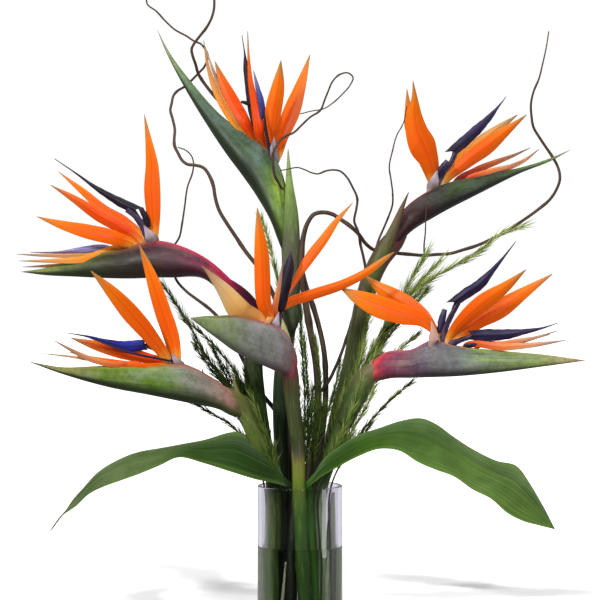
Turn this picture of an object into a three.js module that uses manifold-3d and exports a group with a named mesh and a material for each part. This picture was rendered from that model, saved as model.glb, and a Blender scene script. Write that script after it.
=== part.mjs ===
// A vase arrangement of six bird of paradise flowers, with curly willow, needle-leaved sprays
// and two long leaves, in a plain glass cylinder with water.
// Millimetres, +Z up. The origin is the middle of the vase's underside. The front is -Y.

import * as THREE from "three";
import { mergeVertices } from "three/addons/utils/BufferGeometryUtils.js";
import Module from "manifold-3d";

const wasm = await Module();
wasm.setup();

// Driving dimensions of the vase and its water.
const VASE_HEIGHT = 250;
const VASE_RADIUS = 42.5;
const WALL = 4;
const BASE_THICK = 15;
const FOOT_BEVEL = 2;
const RIM_ROUND = 1;
const VASE_SIDES = 40;
const WATER_TOP = 190;
const BORE_RADIUS = VASE_RADIUS - WALL;

// The gap that touching pieces keep, and how far a stem's foot leans in from its place at the rim.
const GAP = 0.3;
const FOOT_SHARE = 0.85;

// A flat piece shows its face to the front unless it says another way.
const FRONT = [0, -1, 0];

// How wide a piece is along its length, as [place from root to tip, share of its greatest size].
const SEPAL_OUTLINE = [[0, 0.34], [0.2, 0.62], [0.45, 1], [0.7, 0.74], [0.88, 0.34], [1, 0.05]];
const PETAL_OUTLINE = [[0, 0.55], [0.25, 0.42], [0.36, 0.5], [0.44, 1], [0.6, 0.7], [0.8, 0.34],
  [1, 0.08]];
const SPATHE_OUTLINE = [[0, 0.62], [0.14, 0.86], [0.32, 1], [0.5, 0.8], [0.75, 0.45], [0.9, 0.2],
  [1, 0.04]];
const BRACT_OUTLINE = [[0, 0.7], [0.35, 1], [0.65, 0.7], [0.88, 0.32], [1, 0.06]];
const LEAF_OUTLINE = [[0, 0.1], [0.14, 0.16], [0.3, 0.62], [0.5, 1], [0.7, 0.86], [0.88, 0.45],
  [1, 0.04]];

const SEPAL_HALF_THICK = 1.4;
const LEAF_HALF_THICK = 0.8;
const BRACT_HALF_THICK = 2.4;
const OVARY_RADIUS = 5;
const KEEL_SHARE = 0.28;

const PAINT = {
  glass: { color: 0xdfe8e4, roughness: 0.04, metalness: 0 },
  water: { color: 0xb9c8bd, roughness: 0.03, metalness: 0 },
  stalk: { color: 0x3d4f2c, roughness: 0.5, metalness: 0 },
  spathe: { color: 0x3f4d3c, roughness: 0.45, metalness: 0 },
  bract: { color: 0x5f7a3e, roughness: 0.5, metalness: 0 },
  sepal: { color: 0xf27a14, roughness: 0.42, metalness: 0 },
  petal: { color: 0x1e1b4d, roughness: 0.45, metalness: 0 },
  willow: { color: 0x3b2a20, roughness: 0.7, metalness: 0 },
  needles: { color: 0x3f6b22, roughness: 0.6, metalness: 0 },
  leaf: { color: 0x21501a, roughness: 0.35, metalness: 0 },
};

const arrangement = new THREE.Group();

function point([x, y, z]) {
  return new THREE.Vector3(x, y, z);
}

// The value at place t of a list of [place, value] pairs.
function readAlong(pairs, t) {
  const next = Math.max(1, pairs.findIndex(([place]) => place >= t));
  const [before, low] = pairs[next - 1];
  const [after, high] = pairs[next];
  return low + (high - low) * (t - before) / (after - before);
}

// A geometry with only its positions, and with each shared vertex once.
function bare(geometry) {
  geometry.deleteAttribute("normal");
  geometry.deleteAttribute("uv");
  return mergeVertices(geometry, 1e-5);
}

function toSolid(geometry) {
  const plain = bare(geometry);
  const vertProperties = new Float32Array(plain.getAttribute("position").array);
  const triVerts = new Uint32Array(plain.index.array);
  return new wasm.Manifold(new wasm.Mesh({ numProp: 3, vertProperties, triVerts }));
}

function toGeometry(solid) {
  const mesh = solid.getMesh();
  const geometry = new THREE.BufferGeometry();
  geometry.setAttribute("position", new THREE.BufferAttribute(new Float32Array(mesh.vertProperties), 3));
  geometry.setIndex(new THREE.BufferAttribute(new Uint32Array(mesh.triVerts), 1));
  geometry.computeVertexNormals();
  return geometry;
}

function addPiece(name, paint, solid) {
  const mesh = new THREE.Mesh(toGeometry(solid), new THREE.MeshStandardMaterial(PAINT[paint]));
  mesh.name = name;
  arrangement.add(mesh);
}

// A round bar bent along a smooth route. half(t, lift) gives its half width and half depth,
// where lift runs from -1 to 1 across the width. The depth lies towards face.
function bend(route, half, { sides = 6, perSpan = 1, face = FRONT, grow = 0 } = {}) {
  const curve = new THREE.CatmullRomCurve3(route.map(point));
  const bar = bare(new THREE.CylinderGeometry(1, 1, 1, sides, (route.length - 1) * perSpan));
  const spots = bar.getAttribute("position");
  for (let i = 0; i < spots.count; i += 1) {
    const t = THREE.MathUtils.clamp(spots.getY(i) + 0.5, 0, 1);
    const forward = curve.getTangent(t);
    const side = new THREE.Vector3().crossVectors(forward, point(face)).normalize();
    const front = new THREE.Vector3().crossVectors(side, forward);
    const [width, depth] = half(t, spots.getX(i));
    const ahead = t < 0.001 ? -grow : t > 0.999 ? grow : 0;
    const spot = curve.getPoint(t)
      .addScaledVector(side, spots.getX(i) * (width + grow))
      .addScaledVector(front, spots.getZ(i) * (depth + grow))
      .addScaledVector(forward, ahead);
    spots.setXYZ(i, spot.x, spot.y, spot.z);
  }
  return toSolid(bar);
}

function join(solids) {
  return solids.reduce((whole, next) => whole.add(next));
}

// What is left of a solid after the cutters, without the crumbs that a cut leaves beside it.
function carve(solid, cutters) {
  const left = cutters.reduce((rest, cutter) => rest.subtract(cutter), solid);
  return left.decompose().reduce((most, next) => (next.volume() > most.volume() ? next : most));
}

// A stem's route from the vase floor through its place at the rim, then on through the air.
function fromVase([x, y], above) {
  const foot = [x * FOOT_SHARE, y * FOOT_SHARE, BASE_THICK + GAP];
  const rise = (WATER_TOP - foot[2]) / (VASE_HEIGHT - foot[2]);
  const waterline = [foot[0] + (x - foot[0]) * rise, foot[1] + (y - foot[1]) * rise, WATER_TOP];
  return [foot, waterline, [x, y, VASE_HEIGHT], ...above];
}

// A stem that is `low` mm in radius in the vase and changes to `high` at its far end.
function stem(route, low, high, { sides = 5, perSpan = 1, grow = 0 } = {}) {
  const half = (t) => {
    const radius = low + (high - low) * t;
    return [radius, radius];
  };
  return bend(route, half, { sides, perSpan, grow });
}

// A flat tapering blade from root to tip. bow moves its middle sideways in the XZ plane.
function blade({ from, to, wide, bow }, root, grow = 0) {
  const start = point(from);
  const end = point(to);
  const across = new THREE.Vector3().crossVectors(end.clone().sub(start), point(FRONT)).normalize();
  const middle = start.clone().lerp(end, 0.5).addScaledVector(across, bow);
  const route = [root, from, middle.toArray(), to];
  const half = (t) => [wide * readAlong(SEPAL_OUTLINE, t), SEPAL_HALF_THICK * (1.1 - t)];
  return bend(route, half, { sides: 6, perSpan: 2, grow });
}

// Three sepals or fewer that share one ovary.
function floret({ root, sepals }, grow = 0) {
  const ovary = new THREE.IcosahedronGeometry(OVARY_RADIUS + grow, 0).translate(...root);
  return join([toSolid(ovary), ...sepals.map((sepal) => blade(sepal, root, grow))]);
}

// The dark arrow-shaped pair of petals: a thin neck, two barbs and a long point.
function petal({ route, wide }, grow = 0) {
  const half = (t) => {
    const size = wide * readAlong(PETAL_OUTLINE, t);
    return [size, size * 0.7];
  };
  return bend(route, half, { sides: 6, perSpan: 2, grow });
}

// The beak-like sheath that the florets rise from: deep, narrow at its keel, wider above.
function spathe({ route, deep, wide }) {
  const reach = point(route.at(-1)).sub(point(route[0]));
  const face = [-reach.y, reach.x, 0];
  const half = (t, lift) => {
    const size = readAlong(SPATHE_OUTLINE, t);
    return [deep * size, wide * size * (1 - KEEL_SHARE + KEEL_SHARE * lift)];
  };
  return bend(route, half, { sides: 8, perSpan: 2, face });
}

// A pointed bract that lies on the front of its stalk.
function bract({ route, wide }, grow = 0) {
  const half = (t) => {
    const size = readAlong(BRACT_OUTLINE, t);
    return [wide * size, BRACT_HALF_THICK * size];
  };
  return bend(route, half, { sides: 6, perSpan: 2, grow });
}

// Each flower: its place at the rim, its stalk, bract and spathe, then its florets and dark petals.
const FLOWERS = [
  {
    name: "top",
    rim: [-16, 24],
    stalk: [[-19, 22, 303], [-19, 24, 349], [-14, 26, 394], [-9, 28, 435], [-10, 28, 474],
      [-16, 28, 504], [-24, 29, 524]],
    thick: [6, 8.5],
    bract: { route: [[-9, 19, 425], [-9, 18, 473], [-9, 17, 510], [-11, 14, 546],
      [-12, 14, 586]], wide: 9 },
    spathe: {
      route: [[-14, 27, 502], [-37, 36, 553], [-71, 57, 604], [-110, 80, 663], [-152, 102, 721]],
      deep: 22, wide: 10,
    },
    florets: [
      {
        root: [-55, 49, 589],
        sepals: [
          { from: [-54, 53, 609], to: [-100, 78, 707], wide: 5, bow: 6 },
          { from: [-49, 42, 601], to: [-88, 56, 682], wide: 6, bow: 8 },
        ],
      },
      {
        root: [-36, 35, 566],
        sepals: [
          { from: [-38, 27, 585], to: [-51, 24, 710], wide: 5.5, bow: 4 },
          { from: [-29, 24, 587], to: [-19, 10, 677], wide: 9, bow: 2 },
          { from: [-27, 37, 587], to: [9, 48, 687], wide: 9, bow: 6 },
        ],
      },
    ],
    petals: [
      { route: [[-34, 34, 572], [-32, 32, 604], [-38, 34, 641], [-49, 40, 673],
        [-59, 44, 707]], wide: 4 },
    ],
  },
  {
    name: "upper_right",
    rim: [14, 22],
    stalk: [[30, 22, 283], [41, 22, 324], [51, 22, 364], [59, 22, 405], [67, 22, 445], [79, 24, 474],
      [97, 27, 497]],
    thick: [6.5, 9.5],
    bract: { route: [[71, 14, 455], [86, 14, 486], [99, 15, 514], [110, 20, 543]], wide: 7 },
    spathe: {
      route: [[88, 26, 486], [123, 38, 519], [165, 54, 545], [225, 77, 571], [290, 102, 596]],
      deep: 15, wide: 10,
    },
    florets: [
      {
        root: [132, 41, 535],
        sepals: [
          { from: [132, 37, 553], to: [113, 14, 657], wide: 13, bow: -8 },
          { from: [132, 46, 553], to: [110, 47, 652], wide: 7, bow: -8 },
        ],
      },
      {
        root: [154, 50, 547],
        sepals: [
          { from: [157, 60, 562], to: [227, 91, 629], wide: 7, bow: -5 },
          { from: [159, 45, 562], to: [236, 62, 626], wide: 8, bow: -4 },
          { from: [173, 56, 563], to: [247, 87, 597], wide: 4.5, bow: -2 },
        ],
      },
    ],
    petals: [
      { route: [[144, 46, 541], [143, 44, 567], [159, 49, 591], [187, 56, 617],
        [216, 64, 647]], wide: 8 },
    ],
  },
  {
    name: "upper_left",
    rim: [-26, 6],
    stalk: [[-38, 10, 294], [-44, 14, 334], [-47, 18, 374], [-44, 19, 403], [-47, 17, 426],
      [-60, 11, 443], [-78, 8, 455]],
    thick: [6.5, 8.5],
    bract: { route: [[-41, 6, 318], [-44, 8, 350], [-48, 8, 380], [-56, 7, 402]], wide: 8 },
    spathe: {
      route: [[-68, 9, 450], [-95, 11, 464], [-142, 21, 473], [-210, 34, 469], [-288, 50, 464]],
      deep: 17, wide: 10,
    },
    florets: [
      {
        root: [-143, 22, 480],
        sepals: [
          { from: [-148, 20, 498], to: [-158, 15, 622], wide: 8, bow: 4 },
          { from: [-154, 32, 498], to: [-254, 88, 571], wide: 6, bow: 6 },
        ],
      },
      {
        root: [-160, 24, 480],
        sepals: [
          { from: [-164, 19, 494], to: [-254, 29, 551], wide: 6, bow: 4 },
          { from: [-171, 19, 490], to: [-266, 12, 520], wide: 6, bow: 4 },
        ],
      },
      {
        root: [-192, 31, 477],
        sepals: [
          { from: [-204, 35, 484], to: [-291, 47, 482], wide: 3, bow: 1 },
        ],
      },
    ],
    petals: [
      { route: [[-150, 23, 487], [-155, 24, 511], [-175, 29, 532], [-215, 39, 556],
        [-251, 47, 581]], wide: 8 },
    ],
  },
  {
    name: "lower_left",
    rim: [-26, -14],
    stalk: [[-28, -16, 272], [-40, -20, 296], [-52, -26, 319], [-63, -31, 335], [-80, -35, 344]],
    thick: [6.5, 9.5],
    bract: { route: [[-38, -28, 290], [-51, -33, 316], [-61, -34, 345], [-70, -30, 372]], wide: 8 },
    spathe: {
      route: [[-68, -32, 337], [-90, -40, 346], [-125, -56, 356], [-185, -84, 364], [-254, -117, 378]],
      deep: 16, wide: 10,
    },
    florets: [
      {
        root: [-123, -56, 361],
        sepals: [
          { from: [-120, -60, 382], to: [-154, -73, 486], wide: 9, bow: 3 },
          { from: [-127, -66, 381], to: [-195, -114, 461], wide: 9, bow: -4 },
        ],
      },
      {
        root: [-145, -64, 363],
        sepals: [
          { from: [-149, -62, 377], to: [-219, -80, 399], wide: 6, bow: 3 },
          { from: [-156, -76, 375], to: [-230, -115, 398], wide: 4, bow: 1 },
        ],
      },
    ],
    petals: [
      { route: [[-133, -62, 367], [-140, -65, 383], [-162, -76, 393], [-191, -88, 395],
        [-218, -100, 404]], wide: 6 },
    ],
  },
  {
    name: "front",
    rim: [-1, -29],
    stalk: [[-2, -32, 288], [-6, -37, 318], [-8, -41, 342], [-9, -46, 362], [-14, -54, 376]],
    thick: [5.5, 8],
    bract: { route: [[-3, -41, 312], [-6, -48, 342], [-8, -53, 362], [-12, -50, 395],
      [-18, -42, 420]], wide: 7 },
    spathe: {
      route: [[-9, -48, 364], [-21, -68, 384], [-42, -100, 396], [-71, -145, 409], [-97, -185, 419]],
      deep: 20, wide: 11,
    },
    florets: [
      {
        root: [-40, -97, 403],
        sepals: [
          { from: [-34, -98, 418], to: [-40, -108, 520], wide: 8, bow: 3 },
          { from: [-47, -104, 418], to: [-88, -170, 466], wide: 12, bow: 2 },
        ],
      },
      {
        root: [-26, -76, 399],
        sepals: [
          { from: [-17, -74, 417], to: [52, -58, 531], wide: 8, bow: 5 },
          { from: [-13, -66, 416], to: [98, -48, 486], wide: 6, bow: -4 },
        ],
      },
    ],
    petals: [
      { route: [[-32, -86, 402], [-22, -84, 424], [-16, -84, 450], [-11, -83, 476],
        [-10, -82, 500]], wide: 6 },
    ],
  },
  {
    name: "lower_right",
    rim: [16, -12],
    stalk: [[34, -12, 291], [46, -15, 321], [56, -18, 346], [66, -21, 365], [82, -25, 373]],
    thick: [6.5, 9.5],
    bract: { route: [[45, -24, 318], [58, -29, 350], [62, -28, 385], [63, -24, 420]], wide: 7 },
    spathe: {
      route: [[71, -22, 367], [100, -33, 371], [145, -50, 376], [210, -75, 373], [271, -99, 378]],
      deep: 16, wide: 10,
    },
    florets: [
      {
        root: [130, -44, 382],
        sepals: [
          { from: [128, -49, 400], to: [38, -50, 446], wide: 8, bow: -8 },
          { from: [128, -37, 402], to: [64, -5, 459], wide: 7, bow: -6 },
        ],
      },
      {
        root: [150, -52, 383],
        sepals: [
          { from: [154, -59, 398], to: [216, -85, 463], wide: 9, bow: -4 },
          { from: [158, -46, 397], to: [243, -55, 459], wide: 10, bow: -4 },
          { from: [167, -57, 394], to: [248, -78, 406], wide: 4.5, bow: -2 },
        ],
      },
    ],
    petals: [
      { route: [[141, -50, 386], [141, -51, 408], [152, -57, 436], [179, -68, 460],
        [206, -79, 491]], wide: 8 },
    ],
  },
];

// Curly willow: each branch's trunk from its place at the rim, with the side twigs that grow on it.
const WILLOW = [
  {
    name: "willow_right",
    rim: [6, 2],
    thick: [3.6, 1.2],
    trunk: [
      [17, 0, 305], [18, 2, 344], [16, 4, 372], [11, 6, 401], [6, 8, 430], [2, 8, 460], [3, 8, 490],
      [9, 8, 513], [22, 8, 524], [38, 10, 520], [55, 14, 507], [67, 26, 495], [78, 39, 485],
      [90, 44, 481],
      [104, 48, 482], [128, 53, 480], [157, 59, 478], [186, 63, 489], [214, 66, 506], [239, 68, 527],
      [260, 76, 545], [274, 92, 564], [273, 103, 584], [258, 101, 606], [245, 98, 625], [244, 95, 646],
      [249, 94, 667], [255, 94, 683], [260, 96, 699], [263, 97, 719],
    ],
    twigs: [
      { thick: [2.2, 0.8], route: [
        [17.5, 2, 340], [26, -1, 350], [36, 12, 368], [46, 32, 392], [56, 42, 423], [62, 42, 464],
        [60, 34, 489], [58, 22, 519],
        [51, 16, 545], [41, 12, 561], [30, 12, 568], [18, 12, 562], [6, 10, 567], [-1, 6, 569],
      ] },
      { thick: [2, 0.7], route: [
        [77, 38, 486], [86, 42, 507], [92, 34, 530], [92, 20, 548], [91, 14, 566], [93, 8, 584],
        [99, 3, 599], [101, -1, 615], [96, 0, 638],
      ] },
      { thick: [1.6, 0.7], route: [[128, 53, 481], [127, 40, 491], [127, 22, 504], [127, 16, 521],
        [128, 17, 540]] },
    ],
  },
  {
    name: "willow_left",
    rim: [-5, 31],
    thick: [3.2, 1],
    trunk: [
      [-12, 33, 282], [-22, 37, 317], [-41, 38, 342], [-57, 35, 372], [-69, 31, 396], [-83, 28, 418],
      [-96, 29, 431], [-112, 32, 441], [-126, 36, 455], [-130, 37, 473], [-127, 36, 493], [-120, 28, 515],
      [-117, 23, 537], [-112, 25, 556], [-109, 26, 572], [-114, 26, 583], [-125, 26, 590],
    ],
    twigs: [],
  },
  {
    name: "willow_middle",
    rim: [-9, 8],
    thick: [3.2, 1.1],
    trunk: [
      [-9, 9, 294], [-11, 5, 340], [-15, 6, 400], [-28, 4, 443], [-43, 4, 473], [-60, 2, 495],
      [-73, 2, 515],
      [-81, 4, 533], [-87, 6, 552], [-93, 9, 565], [-101, 13, 571], [-112, 15, 575], [-121, 16, 581],
      [-128, 27, 596], [-131, 48, 618], [-134, 59, 635], [-132, 68, 646], [-125, 82, 654],
      [-116, 96, 660],
      [-108, 99, 670], [-102, 95, 679], [-97, 89, 689], [-101, 86, 698], [-109, 87, 707], [-125, 88, 717],
      [-141, 91, 732], [-158, 95, 748], [-171, 100, 761], [-178, 104, 777],
    ],
    twigs: [],
  },
  {
    name: "willow_tall",
    rim: [14, 6],
    thick: [3.6, 1.2],
    trunk: [
      [24, 8, 314], [26, 10, 350], [24, 12, 385], [15, 18, 423], [6, 32, 450], [-1, 46, 481],
      [-8, 52, 512],
      [-18, 55, 548], [-38, 65, 588], [-63, 78, 621], [-88, 90, 649], [-95, 93, 665], [-95, 77, 682],
      [-99, 70, 695], [-93, 64, 708], [-85, 61, 724], [-81, 63, 742], [-81, 63, 761], [-85, 63, 780],
      [-81, 59, 800], [-71, 53, 816], [-67, 54, 834],
    ],
    twigs: [
      { thick: [1.9, 0.7], route: [
        [-8, 52, 512], [-7, 46, 534], [-5, 36, 547], [-9, 23, 557], [-19, 12, 566], [-23, 5, 576],
        [-23, 5, 588],
        [-17, 8, 598], [-3, 16, 608], [11, 22, 621], [21, 26, 629], [28, 28, 641], [33, 28, 656],
        [41, 28, 664],
        [50, 30, 666], [54, 32, 660], [49, 34, 651], [39, 38, 641], [29, 42, 634], [17, 44, 630],
        [5, 46, 628],
      ] },
    ],
  },
];

// Needle-leaved sprays: the place at the rim and the route of each stem through the air.
const SPRAYS = [
  { rim: [-33, -3.5], above: [[-38, -3, 286], [-52, -3, 310], [-75, -3, 350], [-92, -2, 377],
    [-115, -4, 417],
    [-137, -14, 452]] },
  { rim: [-20, -4], above: [[-31, -7, 285], [-44, -10, 321], [-57, -12, 351], [-74, -14, 377],
    [-94, -16, 399],
    [-115, -18, 417]] },
  { rim: [-36, 1], above: [[-42, 0, 272], [-52, -3, 290], [-64, -6, 306], [-84, -8, 320],
    [-105, -12, 332]] },
  { rim: [2, 35], above: [[-11, 41, 292], [-13, 43, 353], [-18, 45, 415], [-24, 44, 461],
    [-32, 46, 494], [-40, 48, 521]] },
  { rim: [26, 2], above: [[44, 6, 293], [66, 4, 332], [85, 4, 363], [106, 4, 392], [130, 3, 424],
    [156, 1, 453],
    [182, -2, 477], [206, -3, 497], [226, -4, 509]] },
  { rim: [22, 9], above: [[38, 12, 296], [54, 9, 326], [72, 9, 357], [88, 9, 390], [108, 10, 424],
    [126, 12, 450],
    [140, 14, 473]] },
  { rim: [20, -4], above: [[36, 1, 293], [56, -2, 330], [76, -4, 361], [96, -6, 383], [119, -8, 402]] },
  { rim: [31, -8], above: [[50, -8, 288], [71, -12, 316], [92, -14, 338], [111, -16, 354]] },
  { rim: [20, -24], above: [[34, -21, 278], [52, -25, 306], [70, -29, 332], [82, -33, 352]] },
  { rim: [1, 15], above: [[4, 18, 293], [5, 18, 334], [2, 18, 385], [0, 19, 429]] },
  { rim: [8, 11], above: [[15, 14, 294], [28, 22, 322], [36, 26, 348], [41, 30, 372]] },
];

// The two long leaves lean out over the rim, arch and hang, with their upper faces to the front.
const LEAVES = [
  {
    name: "left_leaf",
    rim: [-14, -31],
    above: [[-24, -34, 264], [-44, -40, 277], [-66, -46, 287], [-92, -52, 290], [-116, -56, 289],
      [-145, -60, 282],
      [-168, -64, 274], [-192, -68, 263], [-211, -70, 248], [-226, -72, 232], [-241, -76, 211]],
  },
  {
    name: "right_leaf",
    rim: [10, -31],
    above: [[22, -33, 270], [39, -36, 283], [61, -40, 293], [84, -44, 302], [107, -48, 300],
      [136, -52, 289],
      [164, -56, 274], [193, -60, 256], [212, -64, 243], [229, -66, 230], [244, -68, 214]],
  },
];
const LEAF_FACE = [0, -0.55, 0.84];
const LEAF_HALF_WIDE = 31;
const SPRAY_STEM = 1.3;
const SPRAY_TOOTH = 5.5;
const SPRAY_RINGS = 3;

// The glass cylinder, turned about its axis: a thick base, a plain wall and a rounded rim.
function vase() {
  const profile = [
    [0, 0], [VASE_RADIUS - FOOT_BEVEL, 0], [VASE_RADIUS, FOOT_BEVEL],
    [VASE_RADIUS, VASE_HEIGHT - RIM_ROUND], [VASE_RADIUS - RIM_ROUND, VASE_HEIGHT],
    [BORE_RADIUS + RIM_ROUND, VASE_HEIGHT], [BORE_RADIUS, VASE_HEIGHT - RIM_ROUND],
    [BORE_RADIUS, BASE_THICK + FOOT_BEVEL], [BORE_RADIUS - FOOT_BEVEL, BASE_THICK], [0, BASE_THICK],
  ];
  return toSolid(turned(profile));
}

function turned(profile) {
  const outline = profile.map(([radius, height]) => new THREE.Vector2(radius, height));
  return new THREE.LatheGeometry(outline, VASE_SIDES).rotateX(Math.PI / 2);
}

// The water fills the bore round every stem that stands in it.
function water(stemsInVase) {
  const edge = BORE_RADIUS - GAP;
  const bottom = BASE_THICK + GAP;
  const profile = [
    [0, bottom], [edge - FOOT_BEVEL, bottom], [edge, bottom + FOOT_BEVEL], [edge, WATER_TOP],
    [0, WATER_TOP],
  ];
  return carve(toSolid(turned(profile)), stemsInVase);
}

// One flower's pieces. Each carried piece sits in a socket of the piece that carries it.
function addFlower({ name, rim, stalk, thick, bract: bractShape, spathe: beak, florets, petals }) {
  const route = fromVase(rim, stalk);
  const stalkSolid = (grow) => stem(route, thick[0], thick[1], { sides: 8, grow });
  const petalCutters = petals.map((shape) => petal(shape, GAP));
  const floretCutters = florets.map((shape) => floret(shape, GAP));
  const bractCutter = bract(bractShape, GAP);
  const sockets = [stalkSolid(GAP), bractCutter, ...petalCutters, ...floretCutters];
  addPiece(`${name}_stalk`, "stalk", stalkSolid(0));
  addPiece(`${name}_bract`, "bract", carve(bract(bractShape), [stalkSolid(GAP)]));
  addPiece(`${name}_spathe`, "spathe", carve(spathe(beak), sockets));
  florets.forEach((shape, i) => {
    const cutters = [stalkSolid(GAP), bractCutter, ...petalCutters, ...floretCutters.slice(0, i)];
    addPiece(`${name}_sepals_${i + 1}`, "sepal", carve(floret(shape), cutters));
  });
  petals.forEach((shape, i) => addPiece(`${name}_petals_${i + 1}`, "petal", petal(shape)));
  return stalkSolid(GAP);
}

function addWillow({ name, rim, thick, trunk, twigs }) {
  const route = fromVase(rim, trunk);
  const branches = twigs.map((twig) => stem(twig.route, twig.thick[0], twig.thick[1]));
  addPiece(name, "willow", join([stem(route, thick[0], thick[1]), ...branches]));
  return stem(route, thick[0], thick[1], { grow: GAP });
}

// A spray is a thin stem with a vane of needles, which its toothed edge stands for.
function addSpray({ rim, above }, number) {
  const route = fromVase(rim, above);
  const rings = (route.length - 1) * SPRAY_RINGS;
  const bareShare = 3 / (route.length - 1);
  const solid = (grow) => bend(route, (t) => {
    const tooth = t > bareShare && Math.round(t * rings) % 2 === 1;
    const shrink = 1.15 - t;
    return [tooth ? SPRAY_TOOTH * shrink + 1 : SPRAY_STEM * shrink, SPRAY_STEM * shrink];
  }, { sides: 4, perSpan: SPRAY_RINGS, grow });
  addPiece(`needle_spray_${number}`, "needles", solid(0));
  return solid(GAP);
}

function addLeaf({ name, rim, above }) {
  const route = fromVase(rim, above);
  const flatFrom = 2 / (route.length - 1);
  const solid = (grow) => bend(route, (t) => {
    const out = Math.max(0, (t - flatFrom) / (1 - flatFrom));
    const petiole = 2.4 * Math.max(0, 1 - out * 4);
    return [Math.max(2.4 * (1 - out), LEAF_HALF_WIDE * readAlong(LEAF_OUTLINE, out) * Math.min(1, out * 4)),
      Math.max(petiole, LEAF_HALF_THICK)];
  }, { sides: 6, perSpan: 1, face: LEAF_FACE, grow });
  addPiece(name, "leaf", solid(0));
  return solid(GAP);
}

addPiece("glass_vase", "glass", vase());
const wetStems = [
  ...FLOWERS.map(addFlower),
  ...WILLOW.map(addWillow),
  ...SPRAYS.map((spray, i) => addSpray(spray, i + 1)),
  ...LEAVES.map(addLeaf),
];
addPiece("vase_water", "water", water(wetStems));

export default arrangement;
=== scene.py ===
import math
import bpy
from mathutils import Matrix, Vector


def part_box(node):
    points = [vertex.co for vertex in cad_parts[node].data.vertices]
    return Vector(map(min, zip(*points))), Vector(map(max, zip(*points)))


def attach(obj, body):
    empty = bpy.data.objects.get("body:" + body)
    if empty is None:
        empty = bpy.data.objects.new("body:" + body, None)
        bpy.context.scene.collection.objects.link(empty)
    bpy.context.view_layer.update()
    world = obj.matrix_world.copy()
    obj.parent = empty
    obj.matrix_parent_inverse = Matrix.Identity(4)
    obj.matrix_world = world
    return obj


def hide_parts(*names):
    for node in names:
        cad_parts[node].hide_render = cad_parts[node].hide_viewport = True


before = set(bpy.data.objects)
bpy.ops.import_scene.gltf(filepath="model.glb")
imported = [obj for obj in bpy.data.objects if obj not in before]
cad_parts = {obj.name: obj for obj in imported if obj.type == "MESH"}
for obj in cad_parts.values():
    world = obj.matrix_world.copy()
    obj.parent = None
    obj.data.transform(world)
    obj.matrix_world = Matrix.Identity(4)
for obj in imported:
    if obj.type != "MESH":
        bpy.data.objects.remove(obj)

# Six bird of paradise flowers, curly willow, needle-leaved sprays and two long leaves, in a clear
# glass cylinder with water. The tables are in millimetres, in the frame of the CAD model.

from types import SimpleNamespace

import bmesh
import bpy
import numpy as np
from mathutils import Vector

bpy.ops.object.select_all(action="DESELECT")
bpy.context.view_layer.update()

MM = 0.001
FRONT = (0.0, -1.0, 0.0)
rng = np.random.default_rng(7)

VASE_LOW, VASE_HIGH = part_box("glass_vase")
VASE_RADIUS = (VASE_HIGH.x - VASE_LOW.x) / 2
VASE_HEIGHT = VASE_HIGH.z
WALL = 4 * MM
BASE_THICK = 15 * MM
VASE_EDGE = 0.9 * MM
ROUND = 128
WATER_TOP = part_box("vase_water")[1].z
# How far the water reaches into the glass, so that no gap shows between them.
WATER_FIT = 0.15 * MM
# A stem's foot, in mm above the vase floor, and how far from the middle it stands, as a share of its
# distance at the rim.
FOOT_LIFT = 0.3
FOOT_SHARE = 0.85
# Closer than this, in metres, two points are one and two heights are the same.
TOUCHING = 1e-5
# No blade, stem or leaf has a half width under this, in mm.
THINNEST = 0.15


# ---------------------------------------------------------------- laying skins along lines

def follow(rows, count, turn=0.0):
    """Evenly spaced places on a smooth line through the rows, with directions and the other columns."""
    rows = np.array(rows, float)
    steps = np.linalg.norm(np.diff(rows[:, :3], axis=0), axis=1)
    at = np.concatenate([[0.0], np.cumsum(steps)])
    slopes = np.gradient(rows, at, axis=0)
    where = np.linspace(0, at[-1], count)
    k = np.clip(np.searchsorted(at, where, side="right") - 1, 0, len(at) - 2)
    span = (at[k + 1] - at[k])[:, None]
    s = (where - at[k])[:, None] / span
    made = (rows[k] * (2 * s ** 3 - 3 * s ** 2 + 1) + slopes[k] * span * (s ** 3 - 2 * s ** 2 + s)
            + rows[k + 1] * (3 * s ** 2 - 2 * s ** 3) + slopes[k + 1] * span * (s ** 3 - s ** 2))
    centre = made[:, :3]
    forward = unit(np.gradient(centre, axis=0))
    side = unit(np.cross(forward, np.array(FRONT)))
    front = np.cross(side, forward)
    c, d = math.cos(math.radians(turn)), math.sin(math.radians(turn))
    return SimpleNamespace(centre=centre, forward=forward, side=side * c + front * d,
                           front=front * c - side * d, more=made[:, 3:], length=at[-1])


def unit(vectors):
    return vectors / np.maximum(np.linalg.norm(vectors, axis=-1, keepdims=True), 1e-9)


def carry_frame(line):
    """Turns the line's side directions as little as possible, so that a winding tube doesn't twist."""
    side = line.side[0]
    for i, forward in enumerate(line.forward):
        side = unit(side - forward * side.dot(forward))
        line.side[i] = side
        line.front[i] = np.cross(side, forward)
    return line


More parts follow.
